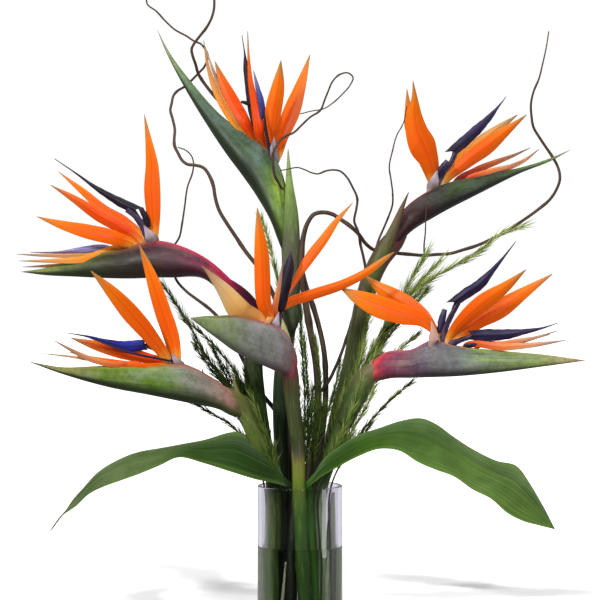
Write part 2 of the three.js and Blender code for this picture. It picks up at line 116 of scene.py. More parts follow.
def lay(name, line, section, around, paint=None):
    """A grid primitive laid as a skin round a line. Its columns go round, its rows go along, and both
    ends close. section(u, t, more) gives the offsets sideways, to the front and forward, in mm."""
    count = len(line.centre)
    rows = count + 1
    bpy.ops.mesh.primitive_grid_add(x_subdivisions=around, y_subdivisions=rows, size=1)
    piece = bpy.context.object
    piece.name = piece.data.name = name
    mesh = piece.data
    spots = np.empty(3 * len(mesh.vertices), np.float32)
    mesh.vertices.foreach_get("co", spots)
    spots = spots.reshape(-1, 3) + 0.5
    u = spots[:, 0]
    row = np.rint(spots[:, 1] * rows).astype(int)
    i = np.clip(row - 1, 0, count - 1)
    open_row = ((row > 0) & (row < rows)).astype(float)[:, None]
    sideways, frontways, ahead = section(u, i / (count - 1), line.more[i])
    moved = (line.side[i] * np.reshape(sideways, (-1, 1)) + line.front[i] * np.reshape(frontways, (-1, 1))
             + line.forward[i] * np.reshape(ahead * np.ones(len(u)), (-1, 1)))
    made = line.centre[i] + moved * open_row
    mesh.vertices.foreach_set("co", (made * MM).astype(np.float32).ravel())
    if paint is not None:
        repaint(mesh, paint)
    close_skin(piece)
    return piece


def repaint(mesh, paint):
    """Gives the map's across value another run round the skin."""
    layer = mesh.uv_layers.active.data
    flat = np.empty(2 * len(layer), np.float32)
    layer.foreach_get("uv", flat)
    flat = flat.reshape(-1, 2)
    flat[:, 0] = paint(flat[:, 0])
    layer.foreach_set("uv", flat.ravel())


def volume(piece):
    """The volume inside a closed skin; it is negative when the faces look inwards."""
    shape = bmesh.new()
    shape.from_mesh(piece.data)
    inside = shape.calc_volume(signed=True)
    shape.free()
    return inside


def close_skin(piece):
    """Merges the seam and the ends, and turns every face outwards."""
    bpy.ops.object.mode_set(mode="EDIT")
    bpy.ops.mesh.select_all(action="SELECT")
    bpy.ops.mesh.remove_doubles(threshold=TOUCHING)
    bpy.ops.mesh.normals_make_consistent(inside=False)
    bpy.ops.object.mode_set(mode="OBJECT")
    if volume(piece) < 0:
        bpy.ops.object.mode_set(mode="EDIT")
        bpy.ops.mesh.select_all(action="SELECT")
        bpy.ops.mesh.flip_normals()
        bpy.ops.object.mode_set(mode="OBJECT")
    bpy.ops.object.shade_smooth()


def settle(piece, finish, slot, *nodes):
    """Gives a piece its finish and its place in the frame."""
    piece.data.materials.clear()
    piece.data.materials.append(finish)
    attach(piece, "root")
    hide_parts(*nodes)
    return piece


# ---------------------------------------------------------------- finishes

def dye(code):
    """The linear colour of a hex code."""
    parts = [int(code[i:i + 2], 16) / 255 for i in (0, 2, 4)]
    return [c / 12.92 if c <= 0.04045 else ((c + 0.055) / 1.055) ** 2.4 for c in parts] + [1.0]


class Finish:
    """A material that is put together one node at a time."""

    def __init__(self, name, **sockets):
        self.material = bpy.data.materials.new(name)
        self.material.use_nodes = True
        self.tree = self.material.node_tree
        self.shader = self.tree.nodes["Principled BSDF"]
        for socket, value in sockets.items():
            self.shader.inputs[socket.replace("_", " ")].default_value = value
        place = self.tree.nodes.new("ShaderNodeTexCoord")
        split = self.put("ShaderNodeSeparateXYZ", {0: place.outputs["UV"]})
        self.u, self.v = split.outputs[0], split.outputs[1]
        self.spot = place.outputs["Object"]

    def put(self, kind, inputs, **settings):
        node = self.tree.nodes.new(kind)
        for key, value in settings.items():
            setattr(node, key, value)
        for key, value in inputs.items():
            if isinstance(value, bpy.types.NodeSocket):
                self.tree.links.new(value, node.inputs[key])
            else:
                node.inputs[key].default_value = value
        return node

    def sum(self, way, a, b=0.0):
        return self.put("ShaderNodeMath", {0: a, 1: b}, operation=way).outputs[0]

    def step(self, value, low, high, bottom=0.0, top=1.0):
        """Rises smoothly from bottom to top as value goes from low to high."""
        node = self.put("ShaderNodeMapRange", {0: value, 1: low, 2: high, 3: bottom, 4: top},
                        interpolation_type="SMOOTHSTEP")
        return node.outputs[0]

    def mix(self, share, first, second):
        colours = [dye(c) if isinstance(c, str) else c for c in (first, second)]
        node = self.put("ShaderNodeMix", {0: share, 6: colours[0], 7: colours[1]}, data_type="RGBA")
        return node.outputs[2]

    def ramp(self, value, stops):
        node = self.put("ShaderNodeValToRGB", {0: value})
        bar = node.color_ramp
        while len(bar.elements) < len(stops):
            bar.elements.new(1.0)
        for element, (place, code) in zip(bar.elements, stops):
            element.position = place
            element.color = dye(code)
        return node.outputs[0]

    def noise(self, place, scale, detail):
        return self.put("ShaderNodeTexNoise", {"Vector": place, "Scale": scale, "Detail": detail,
                                               "Roughness": 0.6}).outputs[0]

    def streaks(self, across, along, detail, seed=0.0):
        """Noise on the piece's own map, drawn out along it."""
        vector = self.put("ShaderNodeCombineXYZ", {0: self.sum("MULTIPLY", self.u, across),
                                                   1: self.sum("MULTIPLY", self.v, along), 2: seed})
        return self.noise(vector.outputs[0], 1.0, detail)

    def round_streaks(self, across, along, detail):
        """The same for a tube, with no seam where its map meets."""
        angle = self.sum("MULTIPLY", self.u, 2 * math.pi)
        vector = self.put("ShaderNodeCombineXYZ", {
            0: self.sum("MULTIPLY", self.sum("COSINE", angle), across),
            1: self.sum("MULTIPLY", self.sum("SINE", angle), across),
            2: self.sum("MULTIPLY", self.v, along)})
        return self.noise(vector.outputs[0], 1.0, detail)

    def blotches(self, scale, detail):
        """Noise in space, the same in every direction."""
        return self.noise(self.spot, scale, detail)

    def folded(self, run):
        """The map's across value, folded over so that it goes from 0 to 1 within each run and back."""
        return self.sum("MULTIPLY", self.sum("PINGPONG", self.u, run), 1 / run)

    def stray(self, value, noise, reach):
        """The value, moved a little up and down by the noise."""
        return self.sum("ADD", value, self.sum("MULTIPLY", self.sum("SUBTRACT", noise, 0.5), reach))

    def bump(self, height, strength, depth):
        node = self.put("ShaderNodeBump", {"Height": height, "Strength": strength,
                                           "Distance": depth * MM})
        self.tree.links.new(node.outputs[0], self.shader.inputs["Normal"])

    def wear(self, colour, roughness=None):
        """Puts the finished colour and roughness on the shader."""
        self.tree.links.new(colour, self.shader.inputs["Base Color"])
        if roughness is not None:
            self.tree.links.new(roughness, self.shader.inputs["Roughness"])
        return self.material


def sepal_finish(name, stops, margin, rib, margin_share=0.5, rib_share=0.5):
    """A waxy blade: colour runs along it, with fine lines, a darker rib and paler margins."""
    f = Finish(name, Roughness=0.42, Subsurface_Weight=0.08, Specular_IOR_Level=0.16)
    f.shader.inputs["Subsurface Radius"].default_value = (0.004, 0.0015, 0.0005)
    f.shader.inputs["Subsurface Scale"].default_value = 1.0
    inward = f.folded(0.25)
    fine = f.streaks(16, 0.6, 1)
    broad = f.streaks(6, 1.0, 2, seed=3.0)
    colour = f.ramp(f.stray(f.v, broad, 0.12), stops)
    colour = f.mix(f.step(inward, 0.34, 0.0, 0.0, margin_share), colour, margin)
    colour = f.mix(f.step(inward, 0.86, 1.0, 0.0, rib_share), colour, rib)
    colour = f.mix(f.step(fine, 0.5, 0.72, 0.0, 0.45), colour, f.mix(0.5, colour, rib))
    colour = f.mix(f.step(fine, 0.5, 0.3, 0.0, 0.3), colour, f.mix(0.4, colour, margin))
    f.bump(fine, 0.35, 0.35)
    return f.wear(colour, f.step(broad, 0.3, 0.7, 0.36, 0.5))


def tongue_finish(name, stops, painted_sheen, edge):
    """The arrow-shaped petals: dark, with a painted sheen as a lighter band on each flank, and a dark rim.
    """
    f = Finish(name, Roughness=0.5, Sheen_Weight=0.04, Sheen_Roughness=0.4, Specular_IOR_Level=0.25)
    inward = f.folded(0.25)
    fine = f.streaks(22, 3.0, 4)
    broad = f.streaks(5, 4.0, 3, seed=5.0)
    colour = f.ramp(f.v, stops)
    # Painted sheen: a lighter band on each flank, between the rim and the rib.
    sheen_flank = f.sum("MULTIPLY", f.step(inward, 0.2, 0.5), f.step(inward, 0.95, 0.7))
    colour = f.mix(f.sum("MULTIPLY", sheen_flank, f.step(broad, 0.35, 0.7, 0.1, 0.75)), colour, painted_sheen)
    colour = f.mix(f.step(inward, 0.25, 0.0, 0.0, 0.7), colour, edge)
    colour = f.mix(f.step(fine, 0.45, 0.7, 0.0, 0.3), colour, edge)
    f.bump(fine, 0.3, 0.3)
    return f.wear(colour, f.step(fine, 0.3, 0.7, 0.38, 0.56))


def spathe_finish(name, body, lip, keel, bloom, bloom_share, lip_reach=0.16, keel_shade_from=0.5,
                  streak="2a2a22", streak_share=0.35, patch=None, patch_at=(0.4, 0.6)):
    """The beak: colour runs along it, its lips have their own, its keel has a darker one that is partly its
    own colour and partly painted shade on its underside, and a waxy bloom lies on it.
    The map's across value is 0 and 1 at the lips and 0.5 at the keel."""
    f = Finish(name, Roughness=0.42, Specular_IOR_Level=0.22)
    depth = f.folded(0.5)
    fine = f.streaks(44, 2.6, 4)
    broad = f.streaks(11, 3.0, 3, seed=2.0)
    cloud = f.streaks(5.5, 7.0, 5, seed=9.0)
    speck = f.blotches(420, 3)
    colour = f.ramp(f.stray(f.v, broad, 0.22), body)
    if patch:
        here = f.sum("MULTIPLY", f.step(f.v, patch_at[0] - 0.08, patch_at[0] + 0.06),
                     f.step(f.v, patch_at[1] + 0.1, patch_at[1] - 0.06))
        here = f.sum("MULTIPLY", here, f.step(depth, 0.75, 0.25))
        colour = f.mix(f.sum("MULTIPLY", here, f.step(broad, 0.38, 0.6)), colour, patch)
    mottle = f.blotches(150, 5)
    colour = f.mix(f.step(mottle, 0.47, 0.62, 0.0, 0.32), colour, streak)
    colour = f.mix(f.step(mottle, 0.44, 0.34, 0.0, 0.3), colour, f.mix(0.5, colour, bloom))
    stain = f.step(f.streaks(18, 9, 5, seed=14.0), 0.5, 0.7, 0.0, 0.4)
    colour = f.mix(stain, colour, f.mix(0.5, colour, lip[-2][1]))
    frost = f.sum("MULTIPLY", f.step(cloud, 0.42, 0.66), f.step(speck, 0.3, 0.62, 0.3, 1.0))
    frost = f.sum("MULTIPLY", frost, f.step(depth, 0.98, 0.55))
    frost = f.sum("MULTIPLY", frost, f.sum("MULTIPLY", f.step(f.v, 0.08, 0.3), f.step(f.v, 0.9, 0.62)))
    colour = f.mix(f.sum("MULTIPLY", frost, bloom_share), colour, bloom)
    # Painted shade: the keel colour over the underside is partly the spathe's own darker colour and partly
    # shade on the side away from the light.
    keel_shade = f.step(f.stray(depth, broad, 0.3), keel_shade_from, keel_shade_from + 0.28)
    colour = f.mix(keel_shade, colour, f.ramp(f.v, keel))
    colour = f.mix(f.step(fine, 0.5, 0.72, 0.0, streak_share), colour, streak)
    lips = f.step(f.stray(depth, broad, 0.2), lip_reach, 0.02)
    colour = f.mix(lips, colour, f.ramp(f.v, lip))
    f.bump(f.sum("ADD", fine, f.sum("MULTIPLY", speck, 0.4)), 0.3, 0.35)
    return f.wear(colour, f.step(cloud, 0.3, 0.7, 0.36, 0.56))


def stalk_finish(name, stops, streak, streak_share=0.45, light="8a9a5a"):
    """A fibrous green stem: colour runs up it, with long darker and lighter lines."""
    f = Finish(name, Roughness=0.42, Specular_IOR_Level=0.22)
    fine = f.round_streaks(7, 16, 4)
    broad = f.round_streaks(1.6, 7, 3)
    colour = f.ramp(f.stray(f.v, broad, 0.08), stops)
    colour = f.mix(f.step(broad, 0.5, 0.72, 0.0, streak_share), colour, streak)
    colour = f.mix(f.step(fine, 0.52, 0.74, 0.0, 0.35), colour, streak)
    colour = f.mix(f.step(fine, 0.46, 0.3, 0.0, 0.25), colour, light)
    f.bump(fine, 0.35, 0.4)
    return f.wear(colour, f.step(fine, 0.3, 0.7, 0.38, 0.55))


def bark_finish():
    """Brown bark with a long grain and pale flecks, darker and greener down in the vase."""
    f = Finish("willow_bark", Roughness=0.62, Specular_IOR_Level=0.25)
    grain = f.round_streaks(2.2, 34, 5)
    fleck = f.blotches(900, 2)
    colour = f.ramp(grain, [(0.3, "2c1e17"), (0.48, "463429"), (0.62, "5c483a"), (0.8, "80695a")])
    colour = f.mix(f.step(fleck, 0.6, 0.72, 0.0, 0.4), colour, "8a7a68")
    height = f.put("ShaderNodeSeparateXYZ", {0: f.spot}).outputs[2]
    colour = f.mix(f.step(height, 0.47, 0.33, 0.0, 0.72), colour, "26261a")
    f.bump(f.sum("ADD", grain, f.sum("MULTIPLY", fleck, 0.5)), 0.35, 0.3)
    return f.wear(colour, f.step(grain, 0.3, 0.7, 0.5, 0.72))


def needle_finish():
    """Each needle has its own shade, from deep to yellow green, held in the attribute shade."""
    f = Finish("needle_foliage", Roughness=0.5, Specular_IOR_Level=0.2)
    shade = f.put("ShaderNodeAttribute", {}, attribute_name="shade").outputs["Fac"]
    colour = f.ramp(shade, [(0.0, "18220e"), (0.3, "2e4016"), (0.55, "4e6826"), (0.8, "7e9444"),
                            (1.0, "b2c070")])
    colour = f.mix(f.step(f.blotches(500, 2), 0.5, 0.7, 0.0, 0.35), colour, "24320f")
    return f.wear(colour, f.step(f.blotches(300, 2), 0.3, 0.7, 0.42, 0.6))


def leaf_finish(name, stops, upper, upper_sheen_share):
    """A long leaf: parallel veins run along it beside a faint rib, with a greyer painted sheen over its
    upper half and its margins, so that its lower edge stays a fresher green.
    """
    f = Finish(name, Roughness=0.4, Specular_IOR_Level=0.22)
    across = f.put("ShaderNodeAttribute", {}, attribute_name="across").outputs["Fac"]
    away = f.sum("ABSOLUTE", across)
    vein_place = f.put("ShaderNodeCombineXYZ", {0: f.sum("MULTIPLY", across, 24.0),
                                                1: f.sum("MULTIPLY", f.v, 2.0), 2: 0.0})
    vein = f.put("ShaderNodeTexNoise", {"Vector": vein_place.outputs[0], "Scale": 1.0, "Detail": 4.0,
                                        "Roughness": 0.65}).outputs[0]
    ribs = f.put("ShaderNodeTexWave", {"Vector": vein_place.outputs[0], "Scale": 0.62, "Distortion": 1.5,
                                       "Detail": 2.0}).outputs["Fac"]
    cloud = f.blotches(26, 5)
    # Painted sheen: the upper half is greyed by the upper colour.
    colour = f.mix(f.step(across, 0.1, 0.9, 0.0, upper_sheen_share), f.ramp(f.v, stops), upper)
    colour = f.mix(f.step(cloud, 0.42, 0.7, 0.0, 0.55), colour, "2a4810")
    colour = f.mix(f.step(away, 0.6, 0.95, 0.0, 0.3), colour, "6c9430")
    colour = f.mix(f.step(vein, 0.48, 0.64, 0.0, 0.6), colour, "1c3808")
    colour = f.mix(f.step(vein, 0.46, 0.32, 0.0, 0.45), colour, "86a84c")
    colour = f.mix(f.step(ribs, 0.55, 0.95, 0.0, 0.4), colour, "223e0c")
    colour = f.mix(f.step(away, 0.04, 0.01, 0.0, 0.15), colour, "6a8a44")
    # Painted sheen: greyer margins.
    colour = f.mix(f.step(away, 0.94, 1.0, 0.0, 0.45), colour, "7c8a5c")
    f.bump(f.sum("ADD", vein, f.sum("MULTIPLY", ribs, 0.5)), 0.5, 0.5)
    return f.wear(colour, f.step(cloud, 0.3, 0.7, 0.34, 0.52))


def glass_finish():
    f = Finish("clear_glass", Roughness=0.0, Transmission_Weight=1.0, IOR=1.46)
    return f.wear(f.mix(f.step(f.blotches(14, 2), 0.4, 0.7), "dcdae4", "d4d2de"))


def water_finish():
    f = Finish("water", Roughness=0.0, Transmission_Weight=1.0, IOR=1.33)
    return f.wear(f.mix(f.step(f.blotches(18, 2), 0.35, 0.7), "dce6d2", "cad8c0"))


# ---------------------------------------------------------------- vase and water

def faces_at(piece, height):
    """Selects only the flat faces at that height that point up or down."""
    for polygon in piece.data.polygons:
        polygon.select = abs(polygon.center.z - height) < TOUCHING and abs(polygon.normal.z) > 0.9


def capped_cylinder(name, radius, bottom, top):
    """An upright cylinder in object mode, with only its top face selected."""
    bpy.ops.mesh.primitive_cylinder_add(vertices=ROUND, radius=radius, depth=top - bottom,
                                        location=(0, 0, (top + bottom) / 2))
    piece = bpy.context.object
    piece.name = piece.data.name = name
    bpy.ops.object.transform_apply(location=True, rotation=True, scale=True)
    bpy.ops.object.mode_set(mode="EDIT")
    bpy.ops.mesh.select_mode(type="FACE")
    bpy.ops.mesh.select_all(action="DESELECT")
    bpy.ops.object.mode_set(mode="OBJECT")
    faces_at(piece, top)
    return piece


def make_vase():
    """A cylinder whose top is inset to the wall and pushed down to the thick base."""
    vase = capped_cylinder("vase", VASE_RADIUS, 0.0, VASE_HEIGHT)
    bpy.ops.object.mode_set(mode="EDIT")
    bpy.ops.mesh.inset(thickness=WALL)
    bpy.ops.mesh.extrude_region_move(TRANSFORM_OT_translate={"value": (0, 0, BASE_THICK - VASE_HEIGHT)})
    bpy.ops.object.mode_set(mode="OBJECT")
    round_edges(vase, VASE_EDGE)
    return vase


def round_edges(piece, width):
    """Rounds the sharp edges, and keeps the flat faces flat in the light."""
    bevel = piece.modifiers.new("round_edges", "BEVEL")
    bevel.width = width
    bevel.segments = 4
    bevel.limit_method = "ANGLE"
    bevel.angle_limit = math.radians(40)
    bpy.context.view_layer.objects.active = piece
    bpy.ops.object.modifier_apply(modifier=bevel.name)
    bpy.ops.object.shade_smooth_by_angle(angle=math.radians(35))
    even = piece.modifiers.new("even_normals", "WEIGHTED_NORMAL")
    even.keep_sharp = True
    even.weight = 100
    bpy.ops.object.modifier_apply(modifier=even.name)


def make_water():
    """It fills the bore, a hair into the glass, and climbs a little at the wall."""
    water = capped_cylinder("water", VASE_RADIUS - WALL + WATER_FIT, BASE_THICK - WATER_FIT, WATER_TOP)
    bpy.ops.object.mode_set(mode="EDIT")
    bpy.ops.mesh.inset(thickness=0.8 * MM)
    bpy.ops.mesh.inset(thickness=1.6 * MM)
    bpy.ops.transform.translate(value=(0, 0, -0.9 * MM))
    bpy.ops.object.mode_set(mode="OBJECT")
    bpy.ops.object.shade_smooth_by_angle(angle=math.radians(60))
    return water


# ---------------------------------------------------------------- plant pieces

# A sepal's half width, as a share of the half width in its rows.
SLENDER = 0.88
# A sepal's thickness at its rib and the height of its waves, and a bract's thickness, in mm.
SEPAL_THICK = 1.1
SEPAL_RIPPLE = 0.25
BRACT_THICK = 1.2
# How far a dark petal folds back, and how ragged its edges are.
PETAL_FOLD = 0.35
PETAL_RAGGED = 0.06
# The share of the map's across run that lies on the outside of a spathe, and its thickest wall in mm.
OUTER = 0.7
BEAK_WALL = 1.5
# A blade is rooted at the nearest of this many places along a spathe's lips.
LIP_PLACES = 200


def blade(name, rows, fold, turn):
    """A folded lance blade, thick at its rib and thin at its margins."""
    line = follow(rows, count=40, turn=turn)
    spread = 1 / math.cos(math.radians(turn))
    phase = len(name) * 1.7

    def section(u, t, more):
        wide = np.maximum(more[:, 0] * SLENDER, THINNEST) * spread
        across = -np.cos(2 * np.pi * u)
        body = SEPAL_THICK / 2 * np.minimum(1, 0.25 + wide / 6)
        back = fold * wide * (np.sqrt(across ** 2 + 0.02) - 0.14)
        wave = SEPAL_RIPPLE * np.abs(across) ** 2 * np.sin(9 * t + phase + across * 2)
        return across * wide, np.sin(2 * np.pi * u) * body - back + wave, 0.0
    return lay(name, line, section, around=20)


def arrow(name, rows, sweep, thick):
    """One of the dark petals: a folded bar with ragged edges, whose back may sweep into barbs."""
    line = follow(rows, count=44)

    def section(u, t, more):
        across = -np.cos(2 * np.pi * u)
        ragged = 1 + PETAL_RAGGED * np.sin(41 * t + 3 * np.sign(across)) * np.sin(17 * t + 1) * (t < 0.8)
        wide = np.maximum(more[:, 0], THINNEST) * ragged
        body = thick / 2 * np.minimum(1, 0.3 + wide / 5)
        back = PETAL_FOLD * wide * (np.abs(across) - 0.1)
        ahead = -sweep * np.abs(across) ** 1.5 * np.maximum(0, 1 - t / 0.3) ** 2
        return across * wide, np.sin(2 * np.pi * u) * body - back, ahead
    return lay(name, line, section, around=16)


def beak(name, lip, keel, wide, gap, base):
    """The spathe: a boat-shaped sheath between its lip line and its keel line, open along the top."""
    lip, keel = np.array(lip, float), np.array(keel, float)
    table = np.hstack([(lip + keel) / 2, (lip - keel) / 2, np.reshape(wide, (-1, 1)),
                       np.reshape(gap, (-1, 1))])
    line = follow(table, count=64)
    line.side = unit(np.cross(line.forward, line.more[:, :3]))
    line.front = line.more[:, :3]

    def section(u, t, more):
        outside = u < OUTER
        s = np.where(outside, 2 * u / OUTER - 1, 1 - 2 * (u - OUTER) / (1 - OUTER))
        a = np.minimum(np.abs(s), 1.0)
        grown = base + (1 - base) * np.sin(np.pi / 2 * np.minimum(1, t / 0.07))
        half, opening = np.maximum(more[:, 3], 0.2) * grown, np.maximum(more[:, 4], 0.0) / 2
        tall = np.maximum(np.linalg.norm(more[:, :3], axis=1), 0.4)
        wall = np.minimum(BEAK_WALL, 0.3 * np.minimum(half, tall))
        height = -np.cos(np.pi * a)
        bulge = np.maximum(np.sin(np.pi * a), 0.0) ** 0.9 * half * (1 - 0.18 * height)
        lateral = np.maximum(np.maximum(bulge, opening + wall * 0.5), 0.05)
        inner = np.maximum(lateral - wall * (1 - a ** 6), opening)
        inner_height = height + 2 * wall / tall * (1 - a) ** 2
        lateral = np.where(outside, lateral, inner)
        height = np.where(outside, height, np.minimum(inner_height, 1.0))
        return np.sign(s) * lateral, height * grown, 0.0

    def paint(u):
        return np.where(u <= OUTER, u / OUTER, 1 - (u - OUTER) / (1 - OUTER))
    return lay(name, line, section, around=60, paint=paint)


def rooted(rows, lip, keel, sink=0.5):
    """Starts a blade deep between the beak's lips, under the place where its first row is seen."""
    rows = [list(row) for row in rows]
    lip, keel = np.array(lip, float), np.array(keel, float)
    share = np.linspace(0, len(lip) - 1, LIP_PLACES)
    steps = np.arange(len(lip))
    lips = np.stack([np.interp(share, steps, lip[:, k]) for k in range(3)], axis=1)
    keels = np.stack([np.interp(share, steps, keel[:, k]) for k in range(3)], axis=1)
    here = np.argmin(np.hypot(lips[:, 0] - rows[0][0], lips[:, 2] - rows[0][2]))
    away = keels[here] - lips[here]
    rows[0] = [*(lips[here] + away * 0.1), rows[0][3]]
    return [[*(lips[here] + away * sink), rows[0][3] * 0.5], *rows]


def wrap(name, rows, cup):
    """A sheath that bulges to the front and ends in a free tip."""
    line = follow(rows, count=36)

    def section(u, t, more):
        wide = np.maximum(more[:, 0], 0.2)
        across = -np.cos(2 * np.pi * u)
        body = BRACT_THICK / 2 * np.minimum(1, 0.3 + wide / 5)
        bulge = cup * wide * (np.sqrt(np.maximum(0, 1 - 0.96 * across ** 2)) - 0.5)
        return across * wide, np.sin(2 * np.pi * u) * body + bulge, 0.0
    return lay(name, line, section, around=24)


def tube(name, rows, count, around=20, ribs=0.0, knots=(), knot_size=0.3, knot_length=0.012):
    """A stem or twig with its own radius at each place, faint ribs and swollen knots."""
    line = carry_frame(follow(rows, count))

    def section(u, t, more):
        radius = np.maximum(more[:, 0], THINNEST)
        for place in knots:
            radius = radius * (1 + knot_size * np.exp(-((t - place) / knot_length) ** 2))
        angle = 2 * np.pi * u
        radius = radius * (1 + ribs * np.cos(9 * angle + 4 * t) + 0.6 * ribs * np.cos(5 * angle - 7 * t))
        return np.cos(angle) * radius, np.sin(angle) * radius, 0.0
    return lay(name, line, section, around)


def from_vase(rim, above, low, high, stand=None):
    """A stem's rows from the vase floor through its place at the rim, with its radius from low to high.
    It stands at its own place on the floor, or a little nearer the middle than at the rim."""
    x, y = rim
    foot = [*(stand or (x * FOOT_SHARE, y * FOOT_SHARE)), BASE_THICK / MM + FOOT_LIFT]
    top = WATER_TOP / MM
    rise = (top - foot[2]) / (VASE_HEIGHT / MM - foot[2])
    wet = [foot[0] + (x - foot[0]) * rise, foot[1] + (y - foot[1]) * rise, top]
    route = [foot, wet, [x, y, VASE_HEIGHT / MM], *above]
    return [[*place[:3], place[3] if len(place) > 3 else low + (high - low) * i / (len(route) - 1)]
            for i, place in enumerate(route)]


def join_as(name, pieces):
    """Joins pieces into one and names it."""
    bpy.ops.object.select_all(action="DESELECT")
    for piece in pieces:
        piece.select_set(True)
    bpy.context.view_layer.objects.active = pieces[0]
    if len(pieces) > 1:
        bpy.ops.object.join()
    pieces[0].name = pieces[0].data.name = name
    bpy.ops.object.select_all(action="DESELECT")
    return pieces[0]


# ---------------------------------------------------------------- needle-leaved sprays

# Where a needle is widest, as a share of its length; how much wider it is there, and how far it bows.
NEEDLE_MIDDLE = 0.45
NEEDLE_SWELL = 1.6
NEEDLE_BOW = 0.1
# The range of a needle's width, in mm.
NEEDLE_WIDTH = (0.45, 0.8)
# Each needle stands this far round the stem from the last one, in radians.
NEEDLE_TURN = 2.4
# The shade of the bare stem, and how much lighter a needle is at its tip.
STEM_SHADE = 0.15
TIP_SHADE = 0.18
# The places along a stem that needles and shoots may grow from.
STEM_PLACES = 80
STEM_LAST = STEM_PLACES - 1
# A spray's radius at its foot and tip and the space between its needles, in mm, and the height up to
# which it is bare.
STEM_THICK = (1.1, 0.5)
NEEDLE_GAP = 0.55
BARE_BELOW = 265.0


def model_needle():
    """One slim pointed leaf: a four-sided cone, subdivided and bowed, one unit long."""
    bpy.ops.mesh.primitive_cone_add(vertices=4, radius1=0.5, radius2=0.0, depth=1.0,
                                    location=(0, 0, 0.5), end_fill_type="TRIFAN")
    needle = bpy.context.object
    bpy.ops.object.transform_apply(location=True, rotation=True, scale=True)
    bpy.ops.object.mode_set(mode="EDIT")
    bpy.ops.mesh.select_all(action="SELECT")
    bpy.ops.mesh.bisect(plane_co=(0, 0, NEEDLE_MIDDLE), plane_no=(0, 0, 1))
    bpy.ops.mesh.select_all(action="SELECT")
    bpy.ops.mesh.normals_make_consistent(inside=False)
    bpy.ops.object.mode_set(mode="OBJECT")
    mesh = needle.data
    spots = np.array([v.co for v in mesh.vertices])
    middle = np.abs(spots[:, 2] - NEEDLE_MIDDLE) < 0.01
    spots[middle, :2] *= NEEDLE_SWELL
    spots[:, 0] += NEEDLE_BOW * spots[:, 2] ** 2
    faces = [list(p.vertices) for p in mesh.polygons]
    bpy.data.objects.remove(needle)
    return spots, faces


def scatter(name, shape, places, axes, sizes, shades):
    """Copies one modelled shape to every place: axes are its along, across and out directions."""
    spots, faces = shape
    along, across, out = axes
    made = (places[:, None, :] + along[:, None, :] * (spots[None, :, 2:3] * sizes[:, 0, None, None])
            + across[:, None, :] * (spots[None, :, 0:1] * sizes[:, 1, None, None])
            + out[:, None, :] * (spots[None, :, 1:2] * sizes[:, 1, None, None]))
    count, each = len(places), len(spots)
    mesh = bpy.data.meshes.new(name)
    mesh.from_pydata((made.reshape(-1, 3) * MM).tolist(), [],
                     [[v + k * each for v in face] for k in range(count) for face in faces])
    layer = mesh.attributes.new("shade", "FLOAT", "POINT")
    lighter = np.tile(spots[:, 2] * TIP_SHADE, count)
    layer.data.foreach_set("value", np.clip(np.repeat(shades, each) + lighter, 0, 1).astype(np.float32))
    piece = bpy.data.objects.new(name, mesh)
    bpy.context.scene.collection.objects.link(piece)
    return piece


def needled(name, rows, needle, first, thick, length, lean, gap, shade, glow):
    """A thin stem set with needles from the share first to its tip."""
    rows = np.hstack([rows, np.linspace(*thick, len(rows))[:, None]])
    stem = tube(name + "_stem", rows, count=50, around=6)
    layer = stem.data.attributes.new("shade", "FLOAT", "POINT")
    layer.data.foreach_set("value", np.full(len(stem.data.vertices), STEM_SHADE, np.float32))
    line = follow(rows[:, :3], STEM_PLACES)
    count = int(line.length * (1 - first) / gap)
    t = np.sort(rng.uniform(first, 1.0, count))
    i = np.clip((t * STEM_LAST).astype(int), 0, STEM_LAST)
    angle = np.arange(count) * NEEDLE_TURN + rng.uniform(0, 0.8, count)
    out = line.side[i] * np.cos(angle)[:, None] + line.front[i] * np.sin(angle)[:, None]
    tilt = np.radians(rng.uniform(*lean, count) * (1 - 0.4 * t))[:, None]
    along = unit(line.forward[i] * np.cos(tilt) + out * np.sin(tilt))
    across = unit(np.cross(along, out))
    sizes = np.stack([rng.uniform(*length, count) * (1 - 0.2 * t), rng.uniform(*NEEDLE_WIDTH, count)],
                     axis=1)
    shades = rng.uniform(*shade, count) + glow * t ** 1.5
    needles = scatter(name + "_needles", needle, line.centre[i], (along, across, np.cross(along, across)),
                      sizes, shades)
    return [stem, needles]


def spray(name, route, needle, length=(13, 24), lean=(10, 38), shade=(0.1, 0.5), glow=0.15, shoots=3):
    """A stem that is bare in the vase, with a few side shoots like it. Needles have a range of lengths in
    mm, of degrees from the stem and of shades, and glow is how much lighter they are at its tip."""
    trunk = follow(route, STEM_PLACES)
    first = float(np.argmax(trunk.centre[:, 2] > BARE_BELOW)) / STEM_LAST
    made = needled(name, route, needle, first, STEM_THICK, length, lean, NEEDLE_GAP, shade, glow)
    for k in range(shoots):
        at = int((first + (0.75 - first) * (k + rng.uniform(0.2, 0.8)) / shoots) * STEM_LAST)
        sway = 1 if k % 2 else -1
        turn = unit(trunk.forward[at] + trunk.side[at] * sway * rng.uniform(0.1, 0.24)
                    + trunk.front[at] * rng.uniform(-0.2, 0.2))
        reach = rng.uniform(0.3, 0.5) * trunk.length * (1 - at / STEM_LAST)
        start = trunk.centre[at]
        rows = np.array([start, start + turn * reach * 0.5,
                         start + turn * reach * 0.75 + trunk.forward[at] * reach * 0.25])
        made += needled(f"{name}_shoot{k}", rows, needle, 0.1, (STEM_THICK[1] * 1.2, 0.35), length, lean,
                        NEEDLE_GAP, shade, glow)
    return join_as(name, made)


# ---------------------------------------------------------------- long leaves

# How deep a long leaf folds along its rib, and the half width at which fold and wave are full, in mm.
LEAF_FOLD = 1.6
LEAF_FULL = 16


